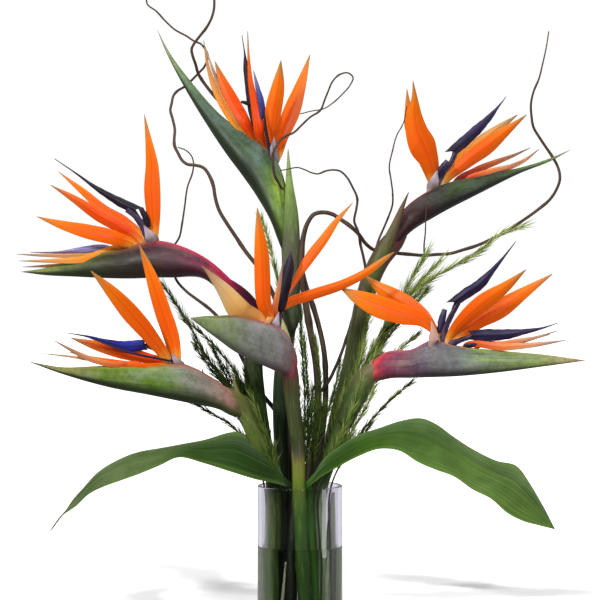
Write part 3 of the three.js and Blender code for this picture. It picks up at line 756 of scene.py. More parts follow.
def long_leaf(name, edges):
    """A leaf between its upper and lower edge lines, folded along its rib, with a soft wave."""
    top = np.array([pair[0] for pair in edges], float)
    low = np.array([pair[1] for pair in edges], float)
    line = follow(np.hstack([(top + low) / 2, (top - low) / 2]), count=90)
    line.side = line.more[:, :3]
    line.front = unit(np.cross(line.side, line.forward)) * (1 if line.forward[40, 0] > 0 else -1)

    def section(u, t, more):
        half = np.maximum(np.linalg.norm(more[:, :3], axis=1), THINNEST)
        full = np.minimum(1, half / LEAF_FULL)
        across = -np.cos(2 * np.pi * u)
        body = np.minimum(0.55, half * 0.4) * (0.45 + 0.9 * np.exp(-(across / 0.09) ** 2))
        fold = LEAF_FOLD * full * (np.sqrt(across ** 2 + 0.01) - 0.1 - 0.5 * across ** 2)
        wave = 1.1 * full * across ** 2 * np.sin(13 * t + 1.3 * np.sign(across))
        pleats = 0.1 * np.sin(46 * across) * full
        return across, np.sin(2 * np.pi * u) * body + fold + wave + pleats, 0.0
    piece = lay(name, line, section, around=72)
    layer = piece.data.attributes.new("across", "FLOAT", "POINT")
    u = np.zeros(len(piece.data.vertices), np.float32)
    corner = piece.data.uv_layers.active.data
    for loop, uv in zip(piece.data.loops, corner):
        u[loop.vertex_index] = -math.cos(2 * math.pi * uv.uv[0])
    layer.data.foreach_set("value", u)
    return piece


# ---------------------------------------------------------------- tables, in millimetres

# A sepal: its rows (x, y, z, half width), then its fold, its turn about its own line and its finish.
# A dark petal: its rows, the sweep of its barbs, its thickness and its finish.
FLOWERS = {
    "top": {
        "rim": (-16, 24),
        "stalk": [(-19, 22, 303, 8), (-19, 24, 349, 8), (-14, 26, 394, 8.3), (-9, 28, 435, 8.8),
                  (-9, 28, 474, 9.2), (-11, 28, 500, 9.6), (-16, 28, 520, 9.6), (-24, 31, 536, 8)],
        "radius": (6.5, 8),
        "knots": (0.86,),
        "bract": {"rows": [(-9, 20, 398, 2), (-9, 19, 412, 8), (-9, 18, 440, 9), (-9, 17, 480, 9.4),
                           (-9, 16, 520, 7.4),
                           (-11, 15, 555, 3.6), (-12, 14, 587, 0.4)], "cup": 0.6},
        "lip": [(-8, 27, 508), (-14, 27, 532), (-16, 34, 556), (-27, 43, 582), (-50, 53, 601),
                (-83, 66, 628),
                (-113, 80, 662), (-139, 93, 698), (-152, 102, 723)],
        "keel": [(-20, 27, 486), (-29, 29, 514), (-43, 37, 539), (-57, 46, 560), (-74, 55, 583),
                 (-97, 68, 618),
                 (-122, 83, 660), (-143, 95, 701), (-152, 102, 723)],
        "wide": [9, 9.6, 10.5, 12, 11.5, 9.5, 5.6, 2.2, 0.3],
        "gap": [0, 0.4, 3, 8, 8, 5, 2, 0.4, 0],
        "base": 0.85,
        "sepals": [
            ([(-51, 45, 596, 3), (-68, 53, 619, 5), (-86, 64, 650, 4.6), (-95, 72, 674, 2.4),
              (-101, 80, 707, 0.3)], 0.25, 10, "yellow"),
            ([(-51, 40, 600, 3), (-65, 46, 622, 3.4), (-80, 53, 650, 2.6), (-91, 60, 676, 1.6),
              (-99, 66, 700, 0.3)], 0.2, -15, "cream"),
            ([(-50, 38, 598, 2.4), (-62, 41, 619, 3), (-75, 48, 642, 2.8), (-84, 52, 658, 1.6),
              (-92, 56, 678, 0.3)], 0.25, -8, "plum"),
            ([(-47, 35, 594, 4), (-55, 37, 615, 6.5), (-69, 44, 640, 7.5), (-80, 50, 662, 5),
              (-88, 56, 682, 0.3)], 0.35, -12, "red"),
            ([(-40, 26, 580, 4), (-41, 23, 606, 6.5), (-45, 23, 630, 5.4), (-50, 22, 655, 3.2),
              (-52, 21, 679, 1.6), (-53, 20, 707, 0.3)], 0.35, 8, "red"),
            ([(-30, 27, 578, 4), (-29, 20, 607, 8), (-26, 16, 629, 9.4), (-22, 13, 649, 7.5),
              (-19, 8, 676, 0.4)], 0.3, -14, "orange"),
            ([(-29, 33, 574, 3), (-19, 38, 603, 8), (-9, 41, 629, 10), (0, 44, 655, 6.5),
              (10, 48, 687, 0.4)], 0.3, 16, "orange"),
        ],
        "darks": [
            ([(-30, 28, 574, 2), (-31, 26, 598, 1.6), (-35, 22, 618, 1.6), (-37, 20, 627, 2)], 0, 1.8,
             "pale_neck"),
            ([(-37, 19, 618, 2.8), (-39, 17, 634, 3.2), (-43, 17, 650, 2.2), (-47, 18, 667, 0.3)], 0, 2,
             "blue"),
            ([(-46, 27, 608, 1.8), (-51, 26, 632, 2.6), (-53, 25, 650, 2.6), (-55, 25, 672, 2.6),
              (-56, 25, 684, 1.0), (-59, 25, 704, 0.3)], 0, 2, "black"),
            ([(-50, 25, 633, 2), (-55, 24, 635, 2), (-60, 23, 636, 1.2)], 0, 2, "black"),
            ([(-36, 13, 628, 0.5), (-35, 12, 610, 1.6), (-32, 13, 592, 1.6), (-31, 15, 580, 0.8)], 0,
             1.4, "black"),
            ([(-29, 24, 574, 3.5), (-27, 21, 588, 3.6), (-26, 20, 600, 0.4)], 0, 1, "membrane"),
        ],
    },
    "upper_right": {
        "rim": (14, 22),
        "stalk": [(30, 22, 283, 8.5), (41, 22, 324, 9), (51, 22, 364, 9), (59, 22, 405, 9),
                  (68, 22, 445, 9.4), (80, 24, 474, 10), (97, 28, 497, 10), (104, 31, 504, 6.5)],
        "radius": (6.5, 8),
        "knots": (),
        "bract": {"rows": [(62, 17, 420, 5), (72, 14, 455, 6.5), (84, 13, 484, 6.5), (95, 14, 508, 4.4),
                           (103, 18, 528, 2.4), (110, 22, 544, 0.4)], "cup": 0.55},
        "lip": [(80, 23, 496), (92, 27, 508), (106, 34, 527), (134, 46, 548), (187, 66, 564),
                (232, 82, 574),
                (265, 93, 585), (288, 102, 595)],
        "keel": [(92, 23, 476), (101, 27, 492), (112, 33, 504), (137, 44, 520), (183, 62, 544),
                 (231, 81, 568),
                 (265, 93, 582), (288, 102, 595)],
        "wide": [9, 10, 11, 12, 10.5, 7, 3, 0.3],
        "gap": [0, 0.4, 4, 8, 6, 3, 0.5, 0],
        "sepals": [
            ([(136, 46, 555, 3), (124, 47, 589, 8), (114, 47, 615, 8), (111, 48, 635, 3.5),
              (110, 48, 652, 0.3)], 0.3, 12, "orange"),
            ([(138, 41, 552, 4), (133, 34, 576, 11.5), (126, 28, 591, 16), (119, 25, 607, 13),
              (116, 22, 623, 9), (116, 18, 638, 4), (114, 14, 656, 0.4)], 0.32, -10, "orange"),
            ([(145, 58, 556, 3), (166, 68, 581, 7.5), (185, 75, 597, 8.5), (204, 82, 612, 6),
              (229, 91, 630, 0.4)], 0.3, 12, "yellow"),
            ([(147, 48, 553, 3), (173, 50, 578, 8), (193, 54, 593, 9.5), (214, 58, 610, 5.5),
              (235, 62, 627, 0.4)], 0.32, -14, "orange"),
            ([(160, 56, 556, 3), (182, 63, 569, 4.2), (205, 72, 579, 3.4), (225, 80, 587, 1.8),
              (242, 86, 595, 0.3)], 0.3, 0, "plum"),
            ([(172, 52, 558, 2), (196, 56, 568, 3), (217, 62, 574, 2), (233, 68, 580, 0.3)], 0.3, 0,
             "tip"),
            ([(190, 66, 563, 2.4), (217, 75, 573, 3.2), (236, 84, 582, 2.2), (252, 92, 594, 0.3)], 0.2,
             0, "tip"),
        ],
        "darks": [
            ([(139, 44, 552, 3), (147, 46, 566, 3), (155, 47, 576, 2.6), (160, 48, 587, 2.6)], 0, 2.2,
             "pale_neck"),
            ([(157, 49, 588, 5), (171, 52, 600, 5.6), (184, 55, 612, 5), (196, 58, 624, 3.2),
              (206, 61, 636, 1.1), (214, 63, 646, 0.3)], 7, 3, "navy"),
            ([(141, 38, 561, 2.6), (145, 36, 569, 3.6), (151, 35, 577, 2.8)], 0, 2.4, "navy"),
            ([(135, 38, 549, 5), (137, 35, 556, 5), (140, 33, 567, 0.5)], 0, 1, "membrane"),
        ],
    },
    "upper_left": {
        "rim": (-26, 6),
        "stalk": [(-38, 10, 294, 9.5), (-44, 14, 334, 9.5), (-47, 18, 374, 9.2), (-44, 19, 403, 8.2),
                  (-47, 17, 426, 7), (-58, 12, 440, 6.6), (-68, 9, 448, 6), (-80, 9, 457, 4)],
        "radius": (6.5, 9),
        "knots": (),
        "bract": {"rows": [(-38, 4, 300, 8), (-42, 6, 330, 8), (-46, 8, 366, 7), (-50, 9, 392, 4),
                           (-54, 9, 410, 0.4)], "cup": 0.6},
        "lip": [(-60, 8, 446), (-76, 8, 462), (-90, 13, 474), (-136, 22, 494), (-182, 30, 487),
                (-223, 38, 478),
                (-265, 46, 467), (-288, 50, 464)],
        "keel": [(-70, 8, 436), (-84, 8, 447), (-96, 11, 456), (-132, 19, 458), (-182, 29, 457),
                 (-231, 39, 459),
                 (-265, 45, 461), (-288, 50, 464)],
        "wide": [7, 8.6, 10.5, 12.5, 11, 7, 3, 0.3],
        "gap": [0, 0.4, 4, 8, 8, 5, 1.5, 0],
        "base": 0.96,
        "sepals": [
            ([(-156, 32, 490, 4), (-180, 46, 515, 6.5), (-202, 58, 528, 6), (-226, 72, 548, 4),
              (-254, 88, 570, 0.3)], 0.3, -10, "orange"),
            ([(-150, 21, 498, 4), (-149, 19, 526, 8.5), (-150, 18, 546, 9.5), (-150, 17, 571, 7.5),
              (-153, 15, 596, 4), (-157, 14, 622, 0.3)], 0.3, 12, "orange"),
            ([(-159, 22, 488, 4), (-182, 22, 508, 7), (-205, 25, 521, 7), (-229, 27, 537, 4.5),
              (-254, 30, 552, 0.3)], 0.3, 14, "red"),
            ([(-164, 18, 485, 4), (-187, 15, 498, 8.5), (-212, 13, 504, 8.5), (-240, 12, 511, 5),
              (-265, 10, 519, 0.3)], 0.32, -12, "orange"),
            ([(-178, 33, 480, 4), (-205, 36, 482, 4.4), (-240, 41, 481, 3.4), (-265, 45, 481, 2),
              (-291, 48, 482, 0.3)], 0.25, 10, "cream"),
            ([(-180, 27, 476, 3.5), (-224, 31, 476, 4), (-255, 34, 475, 2.4), (-287, 38, 475, 0.3)],
             0.25, -10, "yellow"),
            ([(-182, 36, 478, 3), (-224, 40, 472, 3.4), (-258, 44, 470, 2), (-285, 48, 469, 0.3)],
             0.25, 0, "tip"),
        ],
        "darks": [
            ([(-152, 21, 500, 4.6), (-160, 22, 511, 3.8), (-168, 24, 521, 3), (-176, 26, 527, 3)], 0,
             2.6, "pale_neck"),
            ([(-167, 26, 527, 5), (-184, 30, 535, 4.6), (-198, 33, 543, 3.4), (-212, 36, 552, 2),
              (-227, 40, 563, 1), (-252, 46, 580, 0.4)], 8, 2.6, "black"),
            ([(-153, 18, 509, 2.6), (-156, 17, 518, 3.2), (-161, 16, 528, 2.4)], 0, 2.4, "black"),
            ([(-149, 14, 492, 6), (-151, 12, 499, 5.5), (-157, 11, 510, 0.5)], 0, 1, "membrane"),
            ([(-180, 30, 484, 2.5), (-204, 33, 488, 3.8), (-225, 37, 486, 3), (-245, 41, 484, 1.4),
              (-277, 48, 484, 0.3)], 0, 2, "lavender"),
        ],
    },
    "lower_left": {
        "rim": (-26, -14),
        "stalk": [(-28, -16, 272, 8.5), (-37, -19, 292, 9.5), (-48, -24, 315, 10), (-58, -29, 331, 10),
                  (-70, -33, 340, 9), (-77, -36, 343, 6)],
        "radius": (6.5, 8.5),
        "knots": (),
        "bract": {"rows": [(-31, -25, 270, 7), (-40, -30, 292, 8), (-50, -34, 314, 7), (-58, -36, 334, 4),
                           (-63, -35, 350, 2), (-67, -32, 364, 0.4)], "cup": 0.6},
        "lip": [(-48, -28, 330), (-60, -32, 340), (-82, -43, 357), (-109, -56, 372), (-148, -72, 372),
                (-190, -89, 372), (-225, -104, 372), (-254, -117, 378)],
        "keel": [(-60, -31, 315), (-71, -33, 323), (-82, -37, 329), (-102, -47, 334), (-144, -65, 344),
                 (-185, -84, 353), (-225, -103, 366), (-254, -117, 378)],
        "wide": [9, 10, 11, 12.5, 11.5, 7.5, 3, 0.3],
        "gap": [0, 0.4, 4, 8, 7, 4, 0.8, 0],
        "sepals": [
            ([(-125, -66, 374, 4), (-143, -78, 401, 8.4), (-159, -89, 421, 9.6), (-178, -103, 444, 6),
              (-195, -114, 462, 0.4)], 0.3, -12, "orange"),
            ([(-120, -60, 374, 5), (-125, -63, 401, 9), (-132, -65, 422, 9), (-139, -68, 445, 8),
              (-146, -70, 466, 5), (-154, -73, 488, 0.4)], 0.3, 14, "orange"),
            ([(-118, -62, 372, 3), (-146, -66, 379, 6), (-171, -71, 385, 7), (-196, -76, 392, 5),
              (-219, -80, 399, 0.3)], 0.3, -10, "red"),
            ([(-124, -70, 369, 2), (-150, -77, 371, 4), (-176, -85, 375, 4), (-198, -93, 380, 2.4),
              (-217, -100, 386, 0.3)], 0.3, 10, "orange"),
            ([(-150, -80, 368, 2.4), (-180, -90, 374, 3.2), (-202, -99, 381, 3), (-216, -108, 389, 1.8),
              (-229, -115, 397, 0.3)], 0.3, 8, "tip"),
            ([(-176, -84, 372, 1.5), (-207, -97, 380, 1.5), (-240, -112, 385, 0.3)], 0.2, 0, "cream"),
        ],
        "darks": [
            ([(-120, -62, 374, 3), (-130, -65, 382, 2.6), (-142, -68, 389, 2.2), (-151, -70, 392, 2)], 0,
             2, "pale_neck"),
            ([(-150, -71, 392, 5.5), (-166, -77, 391, 5), (-183, -84, 395, 2.6), (-199, -91, 400, 1.2),
              (-219, -100, 404, 0.3)], 5, 3, "royal"),
            ([(-123, -60, 379, 1.6), (-137, -61, 387, 2.6), (-149, -62, 393, 1.8)], 0, 2.2, "navy"),
            ([(-122, -68, 376, 1.1), (-162, -80, 385, 1.1), (-199, -93, 399, 0.4)], 0, 1.6, "navy"),
            ([(-116, -64, 366, 5), (-119, -66, 376, 3.5), (-123, -68, 384, 0.4)], 0, 1, "membrane"),
        ],
    },
    "front": {
        "rim": (-1, -31), "stand": (11, -27),
        "stalk": [(-2, -32, 288, 6.6), (-5, -36, 318, 7.2), (-8, -41, 342, 7.6), (-9, -46, 360, 8),
                  (-12, -54, 374, 8), (-18, -64, 384, 7)],
        "radius": (6.6, 6.2),
        "knots": (0.42,),
        "bract": {"rows": [(-9, -46, 356, 1), (-10, -55, 374, 4.6), (-13, -56, 396, 4),
                           (-18, -55, 414, 2.4),
                           (-21, -54, 424, 0.4)], "cup": 0.5},
        "lip": [(-2, -44, 366), (-5, -52, 384), (-14, -70, 402), (-32, -97, 414), (-56, -126, 420),
                (-75, -152, 420), (-87, -170, 420), (-98, -184, 419)],
        "keel": [(-13, -46, 352), (-16, -52, 362), (-22, -64, 366), (-42, -92, 376), (-58, -116, 386),
                 (-73, -141, 398), (-88, -165, 410), (-98, -184, 419)],
        "wide": [8, 9.6, 11.5, 13, 11.5, 7.5, 3.4, 0.3],
        "gap": [0, 0.4, 5, 8, 7, 4, 0.8, 0],
        "sepals": [
            ([(-27, -92, 406, 4.5), (-34, -100, 435, 8), (-35, -102, 458, 8.5), (-36, -104, 482, 7.5),
              (-38, -106, 501, 4.5), (-40, -108, 521, 0.4)], 0.3, -12, "orange"),
            ([(-42, -112, 405, 9.5), (-54, -121, 422, 12.5), (-70, -136, 444, 7.5), (-80, -146, 456, 3.6),
              (-89, -155, 466, 0.3)], 0.3, 14, "peach"),
            ([(-15, -78, 430, 1.2), (-9, -76, 445, 1.8), (-2, -74, 458, 3.6), (10, -71, 477, 5.6),
              (23, -68, 494, 5),
              (35, -64, 511, 3.2), (51, -60, 529, 0.3)], 0.3, 10, "orange"),
            ([(-26, -84, 424, 2.4), (-13, -78, 431, 5), (12, -67, 440, 5.8), (44, -58, 451, 5.2),
              (65, -54, 462, 4.4),
              (84, -51, 476, 2.4), (92, -49, 482, 0.3)], 0.3, -10, "orange"),
            ([(-24, -88, 406, 3), (-24, -92, 426, 3.4), (-20, -95, 447, 2.4), (-16, -98, 472, 0.3)], 0.2,
             0, "plum"),
        ],
        "darks": [
            ([(-20, -84, 408, 2.4), (-18, -84, 428, 1.7), (-16, -84, 440, 1.8)], 0, 2, "pale_neck"),
            ([(-18, -86, 424, 3.6), (-16, -86, 440, 5.2), (-13, -86, 455, 5.6), (-10, -86, 468, 4.4),
              (-9, -85, 482, 0.4)], 0, 3, "black"),
            ([(-25, -92, 404, 5), (-23, -93, 412, 4), (-20, -93, 423, 0.4)], 0, 1, "membrane"),
        ],
    },
    "lower_right": {
        "rim": (21, -13), "stand": (13, -14),
        "stalk": [(35, -12, 291, 8), (46, -15, 321, 8.6), (56, -18, 344, 9.2), (64, -20, 358, 9.6),
                  (76, -23, 366, 9), (85, -27, 369, 6)],
        "radius": (6.5, 8),
        "knots": (),
        "bract": {"rows": [(44, -24, 312, 7.5), (54, -27, 334, 8.5), (63, -28, 350, 8),
                           (68, -27, 364, 4.5),
                           (71, -25, 376, 0.6)], "cup": 0.6},
        "lip": [(73, -22, 378), (85, -27, 384), (110, -37, 387), (129, -44, 396), (150, -51, 391),
                (194, -69, 386),
                (233, -84, 383), (270, -99, 378)],
        "keel": [(73, -22, 352), (85, -27, 357), (110, -36, 359), (129, -43, 360), (150, -51, 361),
                 (194, -68, 366),
                 (233, -84, 372), (270, -99, 378)],
        "wide": [10, 11.5, 12.5, 13, 12.5, 8, 3.4, 0.3],
        "gap": [0, 2, 5, 7, 8, 4, 0.8, 0],
        "base": 0.8,
        "sepals": [
            ([(140, -45, 388, 3.6), (131, -37, 407, 4), (121, -31, 418, 8), (104, -25, 430, 10.5),
              (88, -18, 440, 9.5),
              (76, -11, 449, 5.5), (64, -5, 460, 0.4)], 0.3, 14, "orange"),
            ([(138, -49, 388, 3.6), (130, -49, 405, 4), (120, -50, 416, 8), (97, -52, 423, 11.5),
              (74, -53, 431, 12),
              (55, -53, 439, 7.5), (39, -52, 447, 0.4)], 0.4, -18, "orange"),
            ([(146, -46, 390, 3), (170, -48, 414, 9.5), (194, -50, 427, 10.5), (218, -53, 443, 6),
              (244, -55, 460, 0.4)], 0.3, 12, "orange"),
            ([(142, -58, 390, 3), (161, -66, 419, 8.5), (177, -72, 433, 9.5), (196, -78, 447, 6),
              (215, -85, 464, 0.4)], 0.3, -14, "orange"),
            ([(160, -60, 386, 2.5), (192, -66, 392, 3.5), (218, -72, 397, 2.2), (247, -78, 406, 0.3)],
             0.25, 0, "tip"),
            ([(158, -66, 384, 2.4), (196, -76, 390, 4), (228, -83, 393, 2.4), (252, -90, 397, 0.3)],
             0.25, 0, "tip"),
            ([(168, -62, 385, 2), (198, -72, 394, 2.6), (224, -78, 399, 1.6), (238, -82, 402, 0.3)],
             0.25, 0, "tip"),
        ],
        "darks": [
            ([(137, -50, 388, 3.6), (140, -51, 403, 3), (146, -55, 419, 2.6), (153, -57, 432, 2.4)], 0,
             2.4, "pale_neck"),
            ([(149, -57, 433, 4.4), (160, -60, 441, 5), (173, -65, 450, 5), (182, -68, 460, 3.2),
              (191, -72, 471, 1.6), (206, -79, 491, 0.3)], 7, 3, "navy"),
            ([(136, -48, 403, 3), (138, -47, 415, 3.6), (141, -46, 426, 2.4)], 0, 2.4, "navy"),
            ([(145, -55, 391, 3), (155, -58, 396, 2.5), (163, -61, 399, 2.4), (169, -62, 401, 2.4)], 0,
             2, "pale_neck"),
            ([(166, -62, 401, 4.4), (180, -65, 401, 6), (197, -70, 402, 5), (216, -76, 405, 2.6),
              (230, -80, 408, 1.2), (245, -84, 413, 0.3)], 5, 3, "navy"),
            ([(158, -59, 391, 1.5), (173, -63, 393, 1.6), (187, -67, 396, 0.8)], 0, 1.6, "navy"),
            ([(131, -55, 385, 8), (130, -57, 395, 6), (129, -57, 405, 3.4), (127, -56, 415, 0.5)], 0, 1,
             "hood"),
        ],
    },
}
# How many groups of sepals a flower has in the CAD model, where it isn't two.
SEPAL_GROUPS = {"upper_left": 3}

# A branch's radius is given at shares of its rows; a twig's runs from one value to another.
WILLOW = {
    "willow_right": {
        "rim": (6, 2), "radius": [(0, 4.0), (0.16, 3.3), (0.25, 2.2), (0.5, 1.7), (0.85, 1.4), (1, 0.6)],
        "trunk": [
            (17, 0, 305), (18, 2, 344), (16, 4, 372), (11, 6, 401), (6, 8, 430), (2, 8, 460), (2, 8, 488),
            (4, 8, 501), (8, 8, 513), (14, 8, 521), (24, 8, 523), (33, 9, 521), (41, 11, 516),
            (51, 13, 509),
            (59, 19, 502), (67, 28, 492), (76, 37, 486), (88, 43, 484), (100, 47, 483), (113, 50, 482),
            (127, 53, 481), (141, 56, 482), (155, 59, 483), (169, 61, 487), (182, 63, 491),
            (204, 65, 501),
            (226, 67, 514), (249, 71, 530), (260, 75, 539), (269, 83, 551), (274, 92, 564),
            (273, 98, 575),
            (267, 103, 588), (260, 102, 598), (253, 100, 608), (247, 99, 618), (245, 98, 628),
            (244, 95, 643),
            (247, 95, 656), (252, 94, 668), (256, 94, 684), (260, 96, 701), (263, 97, 719)],
        "twigs": [
            ((1.8, 0.55), [
                (17.5, 2, 340), (26, -1, 350), (36, 12, 368), (46, 32, 392), (56, 42, 423), (64, 42, 450),
                (67, 40, 467), (65, 37, 478), (62, 33, 490), (59, 28, 505), (55, 23, 515), (57, 20, 527),
                (58, 18, 537), (53, 16, 549), (47, 13, 559), (40, 12, 565), (33, 12, 566), (26, 12, 565),
                (18, 12, 562), (12, 11, 563), (5, 10, 566), (-3, 6, 568), (-13, 6, 566), (-20, 6, 565)]),
            ((1.2, 0.5), [
                (77, 38, 486), (81, 40, 498), (85, 42, 507), (90, 38, 519), (94, 33, 531), (94, 24, 543),
                (92, 17, 556), (90, 13, 569), (93, 8, 585), (97, 3, 600), (103, 0, 611), (107, 0, 629)]),
            ((0.9, 0.5),
             [(128, 53, 481), (127, 40, 491), (127, 22, 504), (127, 16, 521), (128, 17, 540)])],
    },
    "willow_left": {
        "rim": (-5, 31), "radius": [(0, 3.0), (0.4, 1.6), (0.6, 1.1), (1, 0.6)],
        "trunk": [
            (-12, 33, 282), (-22, 37, 317), (-41, 38, 342), (-57, 35, 372), (-69, 31, 396),
            (-82, 28, 416),
            (-92, 29, 426), (-104, 30, 435), (-116, 33, 444), (-127, 36, 457), (-130, 37, 473),
            (-129, 36, 489), (-123, 33, 499), (-120, 29, 512), (-117, 25, 530), (-114, 24, 550),
            (-109, 26, 565), (-108, 26, 573), (-110, 26, 581), (-116, 26, 587), (-124, 26, 590)],
        "twigs": [],
    },
    "willow_middle": {
        "rim": (-9, 8), "radius": [(0, 3.0), (0.2, 1.9), (0.45, 1.5), (0.7, 1.2), (1, 0.8)],
        "trunk": [
            (-9, 9, 294), (-11, 5, 340), (-15, 6, 400), (-28, 4, 443), (-42, 4, 468), (-54, 3, 483),
            (-64, 2, 498), (-74, 2, 513), (-81, 3, 525), (-85, 5, 538), (-87, 6, 550), (-91, 8, 560),
            (-97, 11, 568), (-106, 14, 571), (-114, 15, 572), (-119, 16, 576), (-123, 18, 583),
            (-127, 23, 591), (-128, 30, 599), (-128, 39, 609), (-131, 50, 621), (-134, 57, 632),
            (-133, 62, 639), (-132, 69, 647), (-128, 79, 654), (-121, 90, 660), (-113, 98, 669),
            (-107, 97, 675), (-101, 94, 681), (-98, 90, 687), (-97, 88, 693), (-100, 86, 699),
            (-104, 87, 704), (-111, 87, 707), (-120, 88, 713), (-131, 89, 719), (-142, 91, 729),
            (-152, 93, 740), (-161, 95, 747), (-163, 98, 756), (-167, 101, 766), (-175, 104, 777)],
        "twigs": [],
    },
    "willow_tall": {
        "rim": (14, 6), "radius": [(0, 3.4), (0.3, 2.1), (0.5, 1.6), (0.7, 1.35), (1, 1.1)],
        "trunk": [
            (24, 8, 314), (26, 10, 350), (24, 12, 385), (15, 18, 423), (6, 32, 450), (-1, 46, 481),
            (-8, 52, 512),
            (-18, 55, 548), (-38, 65, 588), (-63, 78, 621), (-86, 90, 645), (-96, 92, 657),
            (-102, 91, 665),
            (-107, 84, 673), (-109, 76, 681), (-112, 71, 690), (-113, 70, 696), (-110, 69, 702),
            (-105, 66, 708), (-96, 63, 719), (-91, 62, 729), (-89, 62, 738), (-89, 63, 748),
            (-90, 63, 759),
            (-89, 63, 772), (-84, 61, 786), (-78, 58, 803), (-71, 55, 820), (-67, 54, 833)],
        "twigs": [
            ((1.5, 0.55), [
                (-8, 52, 512), (-8, 46, 530), (-11, 38, 542), (-18, 28, 548), (-22, 17, 554),
                (-25, 12, 559),
                (-27, 7, 571), (-27, 5, 582), (-23, 6, 591), (-17, 8, 598), (-6, 14, 604), (1, 18, 611),
                (10, 22, 620), (21, 26, 628), (25, 27, 638), (29, 28, 648), (33, 28, 657), (40, 28, 664),
                (49, 30, 666), (54, 32, 662), (51, 33, 654), (43, 36, 645), (34, 40, 637), (24, 43, 631),
                (12, 45, 629), (0, 46, 626)])],
    },
}

# Needle sprays: their CAD part's number, place at the rim, route in the air and habit.
DARK = {"shade": (0.0, 0.35), "glow": 0.12}
FRESH = {"shade": (0.15, 0.8), "glow": 0.25}
PLUME = {"shade": (0.15, 0.75), "glow": 0.4, "shoots": 5, "length": (18, 30), "lean": (9, 30)}
SPRAYS = [
    (1, (-33, -3.5), [(-38, -3, 286), (-52, -3, 310), (-75, -3, 350), (-92, -2, 377), (-115, -4, 417),
                      (-137, -14, 452)], {**DARK, "shoots": 5}),
    (1, (-32, -6), [(-36, -10, 282), (-50, -12, 312), (-68, -12, 344), (-86, -12, 370), (-104, -12, 392)],
     {**DARK, "shoots": 4}),
    (2, (-20, -4), [(-31, -7, 285), (-44, -10, 321), (-57, -12, 351), (-74, -14, 377), (-94, -16, 399),
                    (-115, -18, 417)], {**DARK, "shoots": 5}),
    (3, (-36, 1), [(-42, 0, 272), (-52, -3, 290), (-64, -6, 306), (-84, -8, 320), (-105, -12, 332)],
     {"shade": (0.1, 0.45), "length": (12, 20), "shoots": 2}),
    (3, (-24, -27), [(-27, -36, 276), (-32, -44, 300), (-41, -50, 326), (-48, -52, 344)],
     {"shade": (0.1, 0.65), "length": (12, 20), "shoots": 2}),
    (4, (2, 35), [(-11, 41, 292), (-13, 43, 353), (-18, 45, 415), (-24, 44, 461), (-32, 46, 494),
                  (-40, 48, 521)], {"shade": (0.2, 0.7), "glow": 0.3, "shoots": 2}),
    (5, (26, 2), [(42, 6, 300), (57, 4, 350), (71, 4, 383), (84, 4, 405), (108, 3, 437), (141, 2, 462),
                  (174, 0, 480), (200, -2, 500), (224, -4, 509)], PLUME),
    (6, (22, 9), [(36, 12, 296), (50, 9, 332), (64, 9, 366), (82, 9, 397), (104, 10, 432), (122, 12, 454),
                  (142, 14, 475)], {**PLUME, "shoots": 4}),
    (6, (20, 12), [(34, 17, 296), (52, 17, 330), (70, 18, 362), (88, 20, 396), (108, 22, 420),
                   (128, 24, 444)], {"shade": (0.2, 0.7), "glow": 0.3, "shoots": 3, "length": (16, 28)}),
    (7, (20, -4), [(36, 1, 293), (56, -2, 330), (76, -4, 361), (96, -6, 383), (119, -8, 402)],
     {"shade": (0.25, 0.75), "glow": 0.3, "shoots": 4, "length": (16, 28)}),
    (8, (31, -8), [(50, -8, 288), (71, -12, 316), (92, -14, 338), (111, -16, 354)],
     {"shade": (0.0, 0.4), "glow": 0.25, "shoots": 2, "length": (12, 20)}),
    (9, (20, -24), [(34, -21, 278), (50, -26, 304), (64, -32, 328), (74, -36, 350)],
     {**FRESH, "shoots": 3}),
    (9, (16, -24), [(30, -26, 276), (42, -32, 306), (54, -37, 334), (60, -40, 356)],
     {"shade": (0.15, 0.6), "glow": 0.3, "shoots": 2}),
    (10, (1, 15), [(4, 18, 293), (5, 18, 334), (2, 18, 385), (0, 19, 429)], {**DARK, "shoots": 2}),
    (10, (5, -14), [(7, -16, 290), (8, -18, 330), (6, -20, 372), (4, -20, 398)],
     {"shade": (0.05, 0.5), "length": (12, 22), "shoots": 2}),
    (11, (12, -8), [(16, -12, 288), (19, -12, 330), (19, -12, 366), (15, -12, 398)],
     {"shade": (0.05, 0.55), "glow": 0.2, "shoots": 2, "length": (12, 22)}),
    (11, (8, 11), [(15, 14, 294), (28, 22, 322), (36, 26, 348), (41, 30, 372)],
     {"shade": (0.1, 0.6), "glow": 0.2, "shoots": 3}),
]

# Old leaf sheaths cut short inside the vase: the flower they belong to, and their rows.
OLD_SHEATHS = [
    ("upper_right", [(25, 0, 15.3, 5), (28, -1, 120, 5), (31, -2, 205, 4.4), (33, -3, 243, 1.5)]),
    ("lower_right", [(23, -17, 15.3, 4), (24, -18, 100, 4), (24, -18, 150, 3), (25, -18, 186, 1)]),
    ("upper_left", [(-27, -2, 15.3, 5), (-29, -3, 120, 5), (-31, -4, 200, 4), (-31, -5, 240, 1.5)]),
    ("lower_left",
     [(-26, -24, 15.3, 1.8), (-22, -26, 80, 1.8), (-16, -28, 140, 1.6), (-13, -29, 178, 0.6)]),
]

